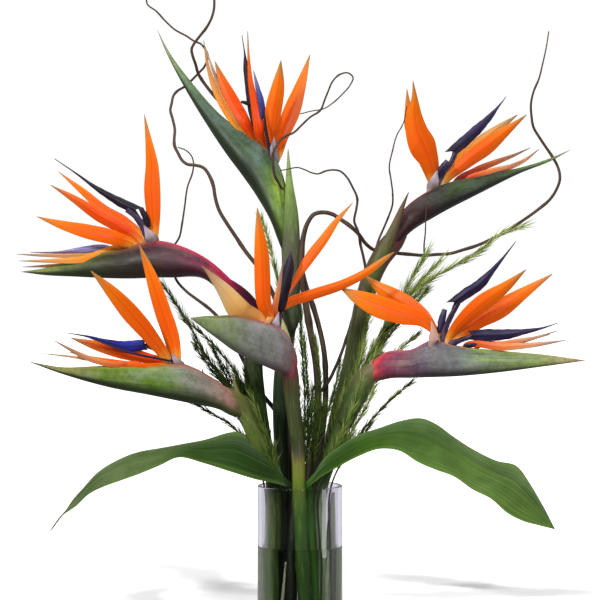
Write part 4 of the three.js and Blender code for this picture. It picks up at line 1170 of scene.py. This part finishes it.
# Long leaves: pairs of places on the upper and the lower edge, from the vase to the tip.
LEAVES = {
    "left_leaf": {
        "rim": (-9, -26), "stand": (-7, -24), "thick": 3.4,
        "edges": [((-14, -33, 258), (-12, -34, 252)), ((-19, -33, 269), (-18, -36, 254)),
                  ((-27, -32, 281), (-25, -37, 256)), ((-41, -29, 293), (-40, -45, 260)),
                  ((-62, -27, 305), (-68, -55, 270)), ((-94, -32, 298), (-93, -60, 278)),
                  ((-117, -37, 295), (-117, -63, 283)), ((-137, -41, 292), (-134, -67, 276)),
                  ((-158, -44, 288), (-153, -70, 269)), ((-177, -48, 280), (-172, -72, 263)),
                  ((-197, -54, 267), (-191, -74, 256)), ((-209, -59, 254), (-203, -75, 249)),
                  ((-219, -64, 243), (-214, -76, 238)), ((-226, -69, 232), (-228, -75, 228)),
                  ((-241, -74, 211), (-241, -74, 211))]},
    "right_leaf": {
        "rim": (8, -26), "stand": (18, -20), "thick": 4.6,
        "edges": [((11, -33, 258), (6, -35, 251)), ((16, -33, 269), (12, -36, 255)),
                  ((25, -32, 281), (21, -35, 262)), ((39, -32, 292), (39, -38, 273)),
                  ((56, -32, 302), (56, -44, 283)), ((79, -34, 310), (78, -50, 291)),
                  ((99, -33, 317), (97, -59, 289)), ((118, -32, 320), (113, -66, 279)),
                  ((133, -34, 315), (130, -70, 272)), ((151, -37, 302), (148, -73, 266)),
                  ((170, -40, 289), (165, -76, 255)), ((192, -43, 278), (183, -79, 246)),
                  ((210, -47, 274), (197, -81, 233)), ((223, -53, 258), (213, -79, 224)),
                  ((235, -61, 237), (229, -73, 219)), ((245, -68, 215), (244, -68, 215))]},
}


# ---------------------------------------------------------------- the finishes in use

SEPALS = {
    "orange": sepal_finish("sepal_orange", [
        (0.0, "d8c4b0"), (0.13, "e8cc98"), (0.19, "ec9830"), (0.27, "e66004"), (0.4, "e65600"),
        (0.6, "ea6000"),
        (0.8, "ee7404"), (0.93, "b8803c"), (0.985, "736c58")], "f48814", "d83c00"),
    "red": sepal_finish("sepal_red", [
        (0.0, "d8bca8"), (0.13, "e4b488"), (0.19, "e67828"), (0.28, "da4002"), (0.6, "e24a00"),
        (0.82, "dc681c"),
        (0.93, "9c784c"), (0.985, "6a6458")], "f0801c", "bc2800"),
    "yellow": sepal_finish("sepal_yellow", [
        (0.0, "e8d0a0"), (0.18, "eca028"), (0.4, "e88410"), (0.6, "dc9040"), (0.8, "c09058"),
        (0.92, "94845c"),
        (0.985, "6c6c60")], "f4c07c", "b84c14", 0.6, 0.6),
    "cream": sepal_finish("sepal_cream", [
        (0.0, "e89048"), (0.25, "e09840"), (0.55, "dca064"), (0.8, "c09c7c"), (0.93, "908478"),
        (0.985, "7c7874")], "ecc8a0", "a45c40", 0.6, 0.6),
    "peach": sepal_finish("sepal_peach", [
        (0.0, "e88868"), (0.2, "ec9848"), (0.45, "eeb464"), (0.7, "ecc48c"), (0.93, "b08c70"),
        (0.985, "7c6c60")], "94505c", "f0a848", 0.75),
    "plum": sepal_finish("sepal_plum", [
        (0.0, "4c1428"), (0.2, "8c2028"), (0.4, "c04c28"), (0.6, "d07840"), (0.8, "a8846c"),
        (0.92, "807068"),
        (0.985, "625c58")], "e09870", "5a1c30"),
    "tip": sepal_finish("sepal_tip", [
        (0.0, "c83c14"), (0.3, "dc5420"), (0.5, "e07c40"), (0.7, "d49870"), (0.88, "a88c78"),
        (0.985, "706860")], "f0b484", "b03818"),
}
# The third colour of each dark petal finish is a painted sheen on its flanks.
DARKS = {
    "navy": tongue_finish("petal_navy",
                          [(0.0, "120a1c"), (0.3, "1e1436"), (0.7, "2c2246"), (1.0, "544c60")],
                          "443860", "0a0610"),
    "black": tongue_finish("petal_black", [(0.0, "140a16"), (0.4, "180e1c"), (0.8, "261c2c"),
                                           (1.0, "4c4252")], "302238", "08040a"),
    "royal": tongue_finish("petal_royal", [(0.0, "16164c"), (0.25, "20268a"), (0.5, "221c4c"),
                                           (0.8, "34304c"), (1.0, "54505c")], "2e38b0", "120e30"),
    "blue": tongue_finish("petal_blue", [(0.0, "181238"), (0.25, "20246c"), (0.55, "44488c"),
                                         (1.0, "8c8ca4")], "5056a0", "2c2448"),
    "lavender": tongue_finish("petal_lavender", [(0.0, "3a2450"), (0.3, "8c86c0"), (0.6, "6a4a70"),
                                                 (1.0, "3a3038")], "a8a6dc", "4a2c4c"),
    "pale_neck": tongue_finish("petal_neck", [(0.0, "988088"), (0.3, "685468"), (0.45, "34243c"),
                                              (0.7, "201428"), (1.0, "160e20")], "605074", "3c2c44"),
    "membrane": tongue_finish("petal_membrane", [(0.0, "a08484"), (0.4, "b8a4a4"), (0.8, "a494a0"),
                                                 (1.0, "7c7084")], "ccbcbc", "8c7880"),
    "hood": tongue_finish("petal_hood", [(0.0, "9c8084"), (0.4, "b09090"), (0.7, "c0907c"),
                                         (1.0, "e08848")], "bca4a0", "90706c"),
}
# Each spathe's third ramp is its keel colour, partly its own darker colour and partly painted shade on its
# underside.
SPATHES = {
    "top": spathe_finish(
        "spathe_top",
        [(0.0, "50701e"), (0.12, "66882a"), (0.24, "466430"), (0.4, "40583a"), (0.6, "4c6250"),
         (0.75, "64804e"),
         (0.9, "8a9c68"), (1.0, "8c8c80")],
        [(0.0, "5a762a"), (0.3, "5c6e38"), (0.45, "707e44"), (0.7, "7c9460"), (1.0, "8c8c84")],
        [(0.0, "2c3a1c"), (0.3, "20281c"), (0.7, "303c28"), (1.0, "6c7460")],
        "6c8084", 0.6, keel_shade_from=0.42, patch="a4bc34", patch_at=(0.06, 0.2), streak="26321e"),
    "upper_right": spathe_finish(
        "spathe_upper_right",
        [(0.0, "541c28"), (0.1, "401822"), (0.22, "3c2224"), (0.36, "34322e"), (0.55, "38402e"),
         (0.7, "445836"),
         (0.84, "6c8c40"), (0.95, "7c7450"), (1.0, "50483e")],
        [(0.0, "6c2030"), (0.2, "8c3834"), (0.34, "984a3c"), (0.5, "5c5430"), (0.65, "466430"),
         (1.0, "6c6450")],
        [(0.0, "301018"), (0.3, "201a1a"), (0.7, "20281c"), (1.0, "40402c")],
        "5c6864", 0.45, keel_shade_from=0.5, streak="1c1416", patch="46602e", patch_at=(0.35, 0.7)),
    "upper_left": spathe_finish(
        "spathe_upper_left",
        [(0.0, "701638"), (0.08, "a81e48"), (0.18, "702840"), (0.3, "54303c"), (0.42, "301c20"),
         (0.55, "2a2a16"),
         (0.72, "4c5a2c"), (0.88, "7c8a40"), (1.0, "545c3c")],
        [(0.0, "c0204c"), (0.2, "d82850"), (0.36, "b83444"), (0.5, "8a5630"), (0.66, "8c7c38"),
         (1.0, "747c44")],
        [(0.0, "4c1628"), (0.3, "301a22"), (0.7, "26301c"), (1.0, "40482c")],
        "70646c", 0.15, lip_reach=0.3, keel_shade_from=0.45, streak="1c1014"),
    "lower_left": spathe_finish(
        "spathe_lower_left",
        [(0.0, "4c5428"), (0.05, "6c5c3c"), (0.1, "a0746a"), (0.17, "a48c80"), (0.26, "8c8880"),
         (0.36, "74885c"), (0.46, "587c20"), (0.7, "60782a"),
         (0.86, "8c8850"), (1.0, "4c4438")],
        [(0.0, "c8786c"), (0.2, "c07c70"), (0.36, "c4604c"), (0.5, "7ca02c"), (0.7, "a8884c"),
         (1.0, "5c5440")],
        [(0.0, "444c24"), (0.3, "343c24"), (0.7, "283a18"), (1.0, "28281a")],
        "b0aca8", 0.35, lip_reach=0.24, keel_shade_from=0.45, patch="78a028", patch_at=(0.4, 0.66),
        streak="2c3c1c"),
    "front": spathe_finish(
        "spathe_front",
        [(0.0, "9c2c40"), (0.09, "b04054"), (0.18, "8c6c74"), (0.34, "8c8c8a"), (0.55, "888e82"),
         (0.7, "8ca06c"),
         (0.88, "98ac6c"), (1.0, "7c8c54")],
        [(0.0, "c03c58"), (0.25, "d87c90"), (0.42, "cc7070"), (0.58, "b88064"), (0.75, "98a460"),
         (1.0, "8c9860")],
        [(0.0, "84283c"), (0.3, "6c5c60"), (0.7, "6c7460"), (1.0, "6c7c50")],
        "b4b0b4", 0.7, lip_reach=0.22, keel_shade_from=0.65, streak="5a5450"),
    "lower_right": spathe_finish(
        "spathe_lower_right",
        [(0.0, "dc5440"), (0.04, "cc3c48"), (0.1, "843450"), (0.24, "605060"), (0.45, "606a64"),
         (0.62, "667a44"),
         (0.78, "849850"), (0.9, "9c9060"), (1.0, "8c5444")],
        [(0.0, "dc6460"), (0.2, "c45c78"), (0.38, "b86658"), (0.55, "749c38"), (0.75, "a0a054"),
         (1.0, "b08a68")],
        [(0.0, "6c2030"), (0.3, "3c2c3c"), (0.7, "3c4a2c"), (1.0, "6c5440")],
        "8c928e", 0.5, lip_reach=0.2, keel_shade_from=0.6, streak="402438", streak_share=0.5,
        patch="8cb040", patch_at=(0.5, 0.64)),
}
STALKS = {
    "top": stalk_finish("stalk_top",
                        [(0.0, "2c3820"), (0.45, "1c2816"), (0.65, "2c3c22"), (0.85, "66704c"),
                                      (1.0, "4c6c28")], "1c2814", light="84946c"),
    "upper_right": stalk_finish("stalk_upper_right", [
        (0.0, "34421f"), (0.4, "2c3c1c"), (0.64, "4c5c2c"), (0.78, "4c5430"), (0.88, "5c4434"),
        (1.0, "602c34")], "2c2c1c", light="8a9a58"),
    "upper_left": stalk_finish("stalk_upper_left", [
        (0.0, "26321c"), (0.5, "222e18"), (0.72, "26301c"), (0.84, "28141e"), (0.93, "4c142c"),
        (1.0, "8c1c3c")], "140f10", light="4c5c3c"),
    "lower_left": stalk_finish("stalk_lower_left", [
        (0.0, "3c4c20"), (0.45, "3a4a1c"), (0.65, "3c4c1c"), (0.85, "4c5c28"), (0.94, "5c6030"),
        (1.0, "7c6444")], "1c2412", light="94a450"),
    # Below the rim, up to about 0.6 along, this ramp is darkened as painted shade for the glass and water,
    # which cast no shadow.
    "front": stalk_finish("stalk_front", [
        (0.0, "12280a"), (0.4, "1e3a0a"), (0.56, "305216"), (0.62, "587020"), (0.66, "727c2c"),
        (0.695, "787834"),
        (0.712, "54483c"),
        (0.74, "3a4424"), (0.86, "4a5030"), (0.93, "6c4440"), (1.0, "943c4c")], "2c341c", 0.35,
        light="a8b45c"),
    # Below the rim, up to about 0.56 along, this pale grey-green is partly the stalk's own colour and
    # partly a painted reflection of the glass.
    "lower_right": stalk_finish("stalk_lower_right", [
        (0.0, "88987c"), (0.4, "7c8c6c"), (0.56, "7c8c6c"), (0.64, "34441c"), (0.88, "3c4c24"),
        (0.96, "6c6440"),
        (1.0, "b86a58")], "1c2412", 0.3, light="8a9a58"),
}
BRACTS = {
    "top": stalk_finish("bract_top",
                        [(0.0, "2c3424"), (0.3, "4c5044"), (0.52, "585c44"), (0.66, "6c8444"),
                         (0.8, "86a050"),
                                      (0.93, "8c9c64"), (1.0, "6c6c5c")], "44582c", 0.45, light="b4c480"),
    "upper_right": stalk_finish("bract_upper_right", [(0.0, "3c4c24"), (0.4, "4c5c2c"), (0.7, "5c5434"),
                                                      (0.9, "5c4434"), (1.0, "4c4c34")], "5c2c30", 0.5),
    "upper_left": stalk_finish("bract_upper_left", [(0.0, "24301a"), (0.6, "34441f"), (1.0, "4c5430")],
                               "141a10"),
    "lower_left": stalk_finish("bract_lower_left", [(0.0, "445424"), (0.4, "54662a"), (0.7, "666c38"),
                                                    (1.0, "8c7c4c")], "2c381c", light="a4b05c"),
    "front": stalk_finish("bract_front",
                          [(0.0, "5c6040"), (0.3, "a88a64"), (0.6, "a8aa6a"), (1.0, "b0b884")],
                          "8c4c54", 0.3, light="c8c890"),
    "lower_right": stalk_finish("bract_lower_right", [(0.0, "34441c"), (0.5, "44582a"), (0.85, "6c6c40"),
                                                      (1.0, "a08460")], "26321c", light="8c9c54"),
}

# The old sheaths' pale grey-green is partly their own colour and partly a painted reflection of the glass.
SHEATH = stalk_finish("old_sheath", [(0.0, "58623c"), (0.4, "66704c"), (0.75, "747c64"), (1.0, "84846c")],
                      "363c28", 0.5, light="a0a68c")
# The leaves' ramps grow lighter and greyer towards the tip, partly their own colour and partly painted
# sheen; the third value is the painted sheen over the upper half.
LEAF_GREENS = {
    "left_leaf": leaf_finish("left_leaf",
                             [(0.0, "102402"), (0.2, "1c3a05"), (0.36, "2c4c0c"), (0.5, "587034"),
                                           (0.7, "6c7c4c"), (1.0, "647448")], "5c6c50", 0.5),
    "right_leaf": leaf_finish("right_leaf",
                              [(0.0, "1c3c04"), (0.2, "345808"), (0.38, "4a701c"), (0.6, "5c7c2c"),
                                             (0.85, "668438"), (1.0, "5c7c34")], "64745a", 0.5),
}
PETIOLES = {
    "left_leaf": stalk_finish("petiole_dark",
                              [(0.0, "1c2612"), (0.4, "10160c"), (0.7, "182410"), (1.0, "2c4a16")],
                              "0c120a", light="3c5030"),
    "right_leaf": stalk_finish("petiole_green", [(0.0, "1c340c"), (0.3, "264a0c"), (0.6, "305812"),
                                                 (1.0, "345c16")], "16300a", light="5c7c34"),
}


# ---------------------------------------------------------------- making

# Where a willow branch has its swollen knots, as shares of its length.
WILLOW_KNOTS = [0.12, 0.23, 0.31, 0.4, 0.47, 0.55, 0.63, 0.7, 0.79, 0.86, 0.94]


def make_flower(name, parts):
    """A flower's stalk, bract, spathe, sepals and dark petals. The sepals are shared out among the flower's
    groups in the order of the table, each hiding its group's part in the CAD model, and a few of them lie
    nearer to another group of the same flower."""
    stalk = from_vase(parts["rim"], parts["stalk"], *parts["radius"], parts.get("stand"))
    settle(tube(f"{name}_stalk_skin", stalk, count=120, around=26, ribs=0.02, knots=parts["knots"],
                knot_size=0.12),
           STALKS[name], "flower_stalk", f"{name}_stalk")
    settle(wrap(f"{name}_bract_sheath", **parts["bract"]), BRACTS[name], "green_bract", f"{name}_bract")
    settle(beak(f"{name}_beak", parts["lip"], parts["keel"], parts["wide"], parts["gap"],
                parts.get("base", 0.5)), SPATHES[name], "flower_spathe", f"{name}_spathe")
    groups = SEPAL_GROUPS.get(name, 2)
    for i, (rows, fold, turn, finish) in enumerate(parts["sepals"]):
        group = min(groups, 1 + i * groups // len(parts["sepals"]))
        rows = rooted(rows, parts["lip"], parts["keel"])
        settle(blade(f"{name}_sepal_{i + 1}", rows, fold, turn), SEPALS[finish],
               "orange_sepal", f"{name}_sepals_{group}")
    for i, (rows, sweep, thick, finish) in enumerate(parts["darks"]):
        if finish in ("pale_neck", "membrane", "hood"):
            rows = rooted(rows, parts["lip"], parts["keel"], 0.3)
        settle(arrow(f"{name}_dark_petal_{i + 1}", rows, sweep, thick), DARKS[finish],
               "blue_petal", f"{name}_petals_1")


def make_willow(name, parts, finish):
    """A branch and its twigs, joined into one piece of bark."""
    trunk = np.array(from_vase(parts["rim"], parts["trunk"], 0, 1))
    shares, sizes = zip(*parts["radius"])
    trunk[:, 3] = np.interp(trunk[:, 3], shares, sizes)
    pieces = [tube(name + "_trunk", trunk, count=300, around=14, ribs=0.03, knots=WILLOW_KNOTS,
                   knot_size=0.16, knot_length=0.005)]
    for k, (thick, route) in enumerate(parts["twigs"]):
        rows = [[*place, thick[0] + (thick[1] - thick[0]) * i / (len(route) - 1)]
                for i, place in enumerate(route)]
        pieces.append(tube(f"{name}_twig{k}", rows, count=130, around=10, ribs=0.03,
                           knots=WILLOW_KNOTS[1::2], knot_size=0.2, knot_length=0.01))
    settle(join_as(name + "_bark", pieces), finish, "willow_bark", name)


def make_petiole(name, parts):
    """The leaf's own stem, from the vase floor to a rib that dies out under the blade."""
    middles = [np.mean(np.array(pair, float), axis=0) for pair in parts["edges"][:5]]
    rows = from_vase(parts["rim"], [], parts["thick"], parts["thick"], parts["stand"])
    for i, spot in enumerate(middles):
        radius = 3.0 - 0.6 * i
        rows.append([spot[0], spot[1] + radius * 0.8, spot[2], radius])
    return tube(name + "_petiole", rows, count=90, around=14, ribs=0.03)


for flower, flower_parts in FLOWERS.items():
    make_flower(flower, flower_parts)
for number, (flower, sheath_rows) in enumerate(OLD_SHEATHS, 1):
    settle(tube(f"old_sheath_{number}", sheath_rows, count=60, around=18, ribs=0.05), SHEATH,
           "flower_stalk", f"{flower}_stalk")

BARK = bark_finish()
for branch, branch_parts in WILLOW.items():
    make_willow(branch, branch_parts, BARK)

NEEDLE_GREEN = needle_finish()
NEEDLE = model_needle()
for number, (node, rim, above, habit) in enumerate(SPRAYS, 1):
    stem_route = np.array([row[:3] for row in from_vase(rim, above, 1, 1)], float)
    settle(spray(f"spray_{number}", stem_route, NEEDLE, **habit), NEEDLE_GREEN, "needle_foliage",
           f"needle_spray_{node}")

for leaf, leaf_parts in LEAVES.items():
    settle(long_leaf(leaf + "_blade", leaf_parts["edges"]), LEAF_GREENS[leaf], "long_leaf", leaf)
    settle(make_petiole(leaf, leaf_parts), PETIOLES[leaf], "long_leaf", leaf)

for clear in (settle(make_vase(), glass_finish(), "clear_glass", "glass_vase"),
              settle(make_water(), water_finish(), "water", "vase_water")):
    clear.visible_shadow = False


# ---------------------------------------------------------------- floor, light and camera

# Where a soft painted shadow lies on the floor: x, y, half length, half width, turn in degrees, depth.
FLOOR_PAINTED_SHADOWS = [
    (-0.17, 1.0, 0.26, 0.09, 117, 0.42), (-0.09, 0.82, 0.16, 0.09, 110, 0.36),
    (-0.23, 0.8, 0.12, 0.06, 75, 0.42),
    (0.2, 0.94, 0.16, 0.075, -30, 0.5), (0.33, 0.86, 0.18, 0.065, -12, 0.42),
    (0.2, 0.8, 0.14, 0.05, 10, 0.32),
]
# How far a noise moves the painted shadows' outlines, in metres, and the floor's glow: from this distance
# to that one it goes from this strength to that one.
PAINTED_SHADOW_DRIFT = 0.16
FLOOR_GLOW = (0.7, 1.8, 0.5, 1.1)
FLOOR_SIZE = 60
FLOOR_DROP = 0.0004


def make_floor():
    """A wide white floor that glows a little more far away, with soft painted shadows taken out of its
    glow.
    """
    bpy.ops.mesh.primitive_plane_add(size=FLOOR_SIZE, location=(0, 0, -FLOOR_DROP))
    floor = bpy.context.object
    floor.name = "floor"
    bpy.ops.object.transform_apply(location=True, rotation=True, scale=True)
    f = Finish("floor_white", Roughness=0.9, Base_Color=(0.9, 0.9, 0.9, 1), Specular_IOR_Level=0.0)
    f.shader.inputs["Emission Color"].default_value = (1, 1, 1, 1)
    away = f.put("ShaderNodeVectorMath", {0: f.spot}, operation="LENGTH").outputs["Value"]
    cloud = f.put("ShaderNodeTexNoise", {"Vector": f.spot, "Scale": 7.0, "Detail": 3.0}).outputs["Color"]
    drawn = f.put("ShaderNodeVectorMath", {0: cloud, 1: (PAINTED_SHADOW_DRIFT, PAINTED_SHADOW_DRIFT, 0.0), 2: f.spot},
                  operation="MULTIPLY_ADD").outputs[0]
    # shade sums the painted shadows, which are subtracted from the floor's glow.
    shade = 0.0
    for x, y, reach, half, turn, depth in FLOOR_PAINTED_SHADOWS:
        middle = (x + PAINTED_SHADOW_DRIFT / 2, y + PAINTED_SHADOW_DRIFT / 2, 0)
        local = f.put("ShaderNodeMapping", {"Vector": drawn, "Location": middle,
                                            "Rotation": (0, 0, math.radians(turn)),
                                            "Scale": (reach, half, 1)}, vector_type="TEXTURE").outputs[0]
        far = f.put("ShaderNodeVectorMath", {0: local}, operation="LENGTH").outputs["Value"]
        shade = f.sum("ADD", f.step(far, 1.0, 0.3, 0.0, depth), shade)
    f.tree.links.new(f.sum("SUBTRACT", f.step(away, *FLOOR_GLOW), shade),
                     f.shader.inputs["Emission Strength"])
    floor.data.materials.append(f.material)
    floor.visible_diffuse = False
    floor.visible_glossy = False
    floor.visible_transmission = False


def make_lamp(name, place, target, size, power, tall=None):
    """A round lamp that faces the target, or a strip if it is tall."""
    lamp = bpy.data.lights.new(name, "AREA")
    lamp.shape = "RECTANGLE" if tall else "DISK"
    lamp.size = size
    lamp.size_y = tall or size
    lamp.energy = power
    holder = bpy.data.objects.new(name, lamp)
    bpy.context.scene.collection.objects.link(holder)
    holder.location = place
    holder.rotation_euler = (Vector(target) - Vector(place)).to_track_quat("-Z", "Y").to_euler()
    holder.visible_camera = False
    return holder


# How bright the surroundings are: as seen, as soft light on the object, and in its gloss the backdrop,
# with the room before it as a share of that.
WORLD_SEEN = 1.03
WORLD_SOFT = 0.4
WORLD_BACKDROP = 0.5
WORLD_ROOM = 0.03


def make_world():
    """White to look at, also through glass; softer as a light, and dim in reflections."""
    world = bpy.data.worlds.new("white_studio")
    bpy.context.scene.world = world
    world.use_nodes = True
    tree = world.node_tree
    tree.nodes.clear()

    def sum_up(way, a, b):
        node = tree.nodes.new("ShaderNodeMath")
        node.operation = way
        for socket, value in zip(node.inputs, (a, b)):
            if isinstance(value, bpy.types.NodeSocket):
                tree.links.new(value, socket)
            else:
                socket.default_value = value
        return node.outputs[0]
    path = tree.nodes.new("ShaderNodeLightPath").outputs
    first = sum_up("LESS_THAN", path["Diffuse Depth"], 0.5)
    behind = tree.nodes.new("ShaderNodeMapRange")
    behind.interpolation_type = "SMOOTHSTEP"
    split = tree.nodes.new("ShaderNodeSeparateXYZ")
    tree.links.new(tree.nodes.new("ShaderNodeTexCoord").outputs["Generated"], split.inputs[0])
    tree.links.new(split.outputs[1], behind.inputs[0])
    for socket, value in zip(behind.inputs[1:5], (-0.3, 0.3, WORLD_ROOM, 1.0)):
        socket.default_value = value
    glossy = path["Is Glossy Ray"]
    gleam = sum_up("MULTIPLY", behind.outputs[0], WORLD_BACKDROP)
    light = sum_up("ADD", sum_up("MULTIPLY", glossy, gleam),
                   sum_up("MULTIPLY", sum_up("SUBTRACT", 1.0, glossy), WORLD_SOFT))
    through = sum_up("MULTIPLY", path["Is Transmission Ray"], first)
    seen = sum_up("MAXIMUM", path["Is Camera Ray"], sum_up("MULTIPLY", through, behind.outputs[0]))
    hidden = sum_up("SUBTRACT", 1.0, sum_up("MAXIMUM", path["Is Camera Ray"], through))
    strength = sum_up("ADD", sum_up("MULTIPLY", seen, WORLD_SEEN), sum_up("MULTIPLY", hidden, light))
    sky = tree.nodes.new("ShaderNodeBackground")
    out = tree.nodes.new("ShaderNodeOutputWorld")
    tree.links.new(strength, sky.inputs[1])
    sky.inputs[0].default_value = (1, 1, 1, 1)
    tree.links.new(sky.outputs[0], out.inputs[0])


# The camera's distance and height, and half the width that it takes in at the vase's axis.
CAMERA_BACK = 1.7
CAMERA_HEIGHT = 0.435
HALF_VIEW = 0.3

make_floor()
make_world()
make_lamp("key_left", (-1.5, -2.0, 1.7), (0, 0, 0.4), 0.4, 46)
make_lamp("key_front", (0.25, -2.1, 1.3), (0, 0, 0.4), 0.5, 22)
make_lamp("top_soft", (-0.1, 0.1, 2.4), (0, 0, 0.4), 1.4, 16)
strip = make_lamp("strip_right", (0.72, -0.3, 0.13), (0, 0, 0.16), 0.2, 0.42, 0.12)
strip.visible_diffuse = False
strip.visible_transmission = False

camera_data = bpy.data.cameras.new("camera")
camera_data.lens = camera_data.sensor_width / 2 * CAMERA_BACK / HALF_VIEW
camera = bpy.data.objects.new("camera", camera_data)
bpy.context.scene.collection.objects.link(camera)
camera.location = (0, -CAMERA_BACK, CAMERA_HEIGHT)
camera.rotation_euler = (math.radians(90), 0, 0)
bpy.context.scene.camera = camera
bpy.context.scene.view_settings.view_transform = "Standard"
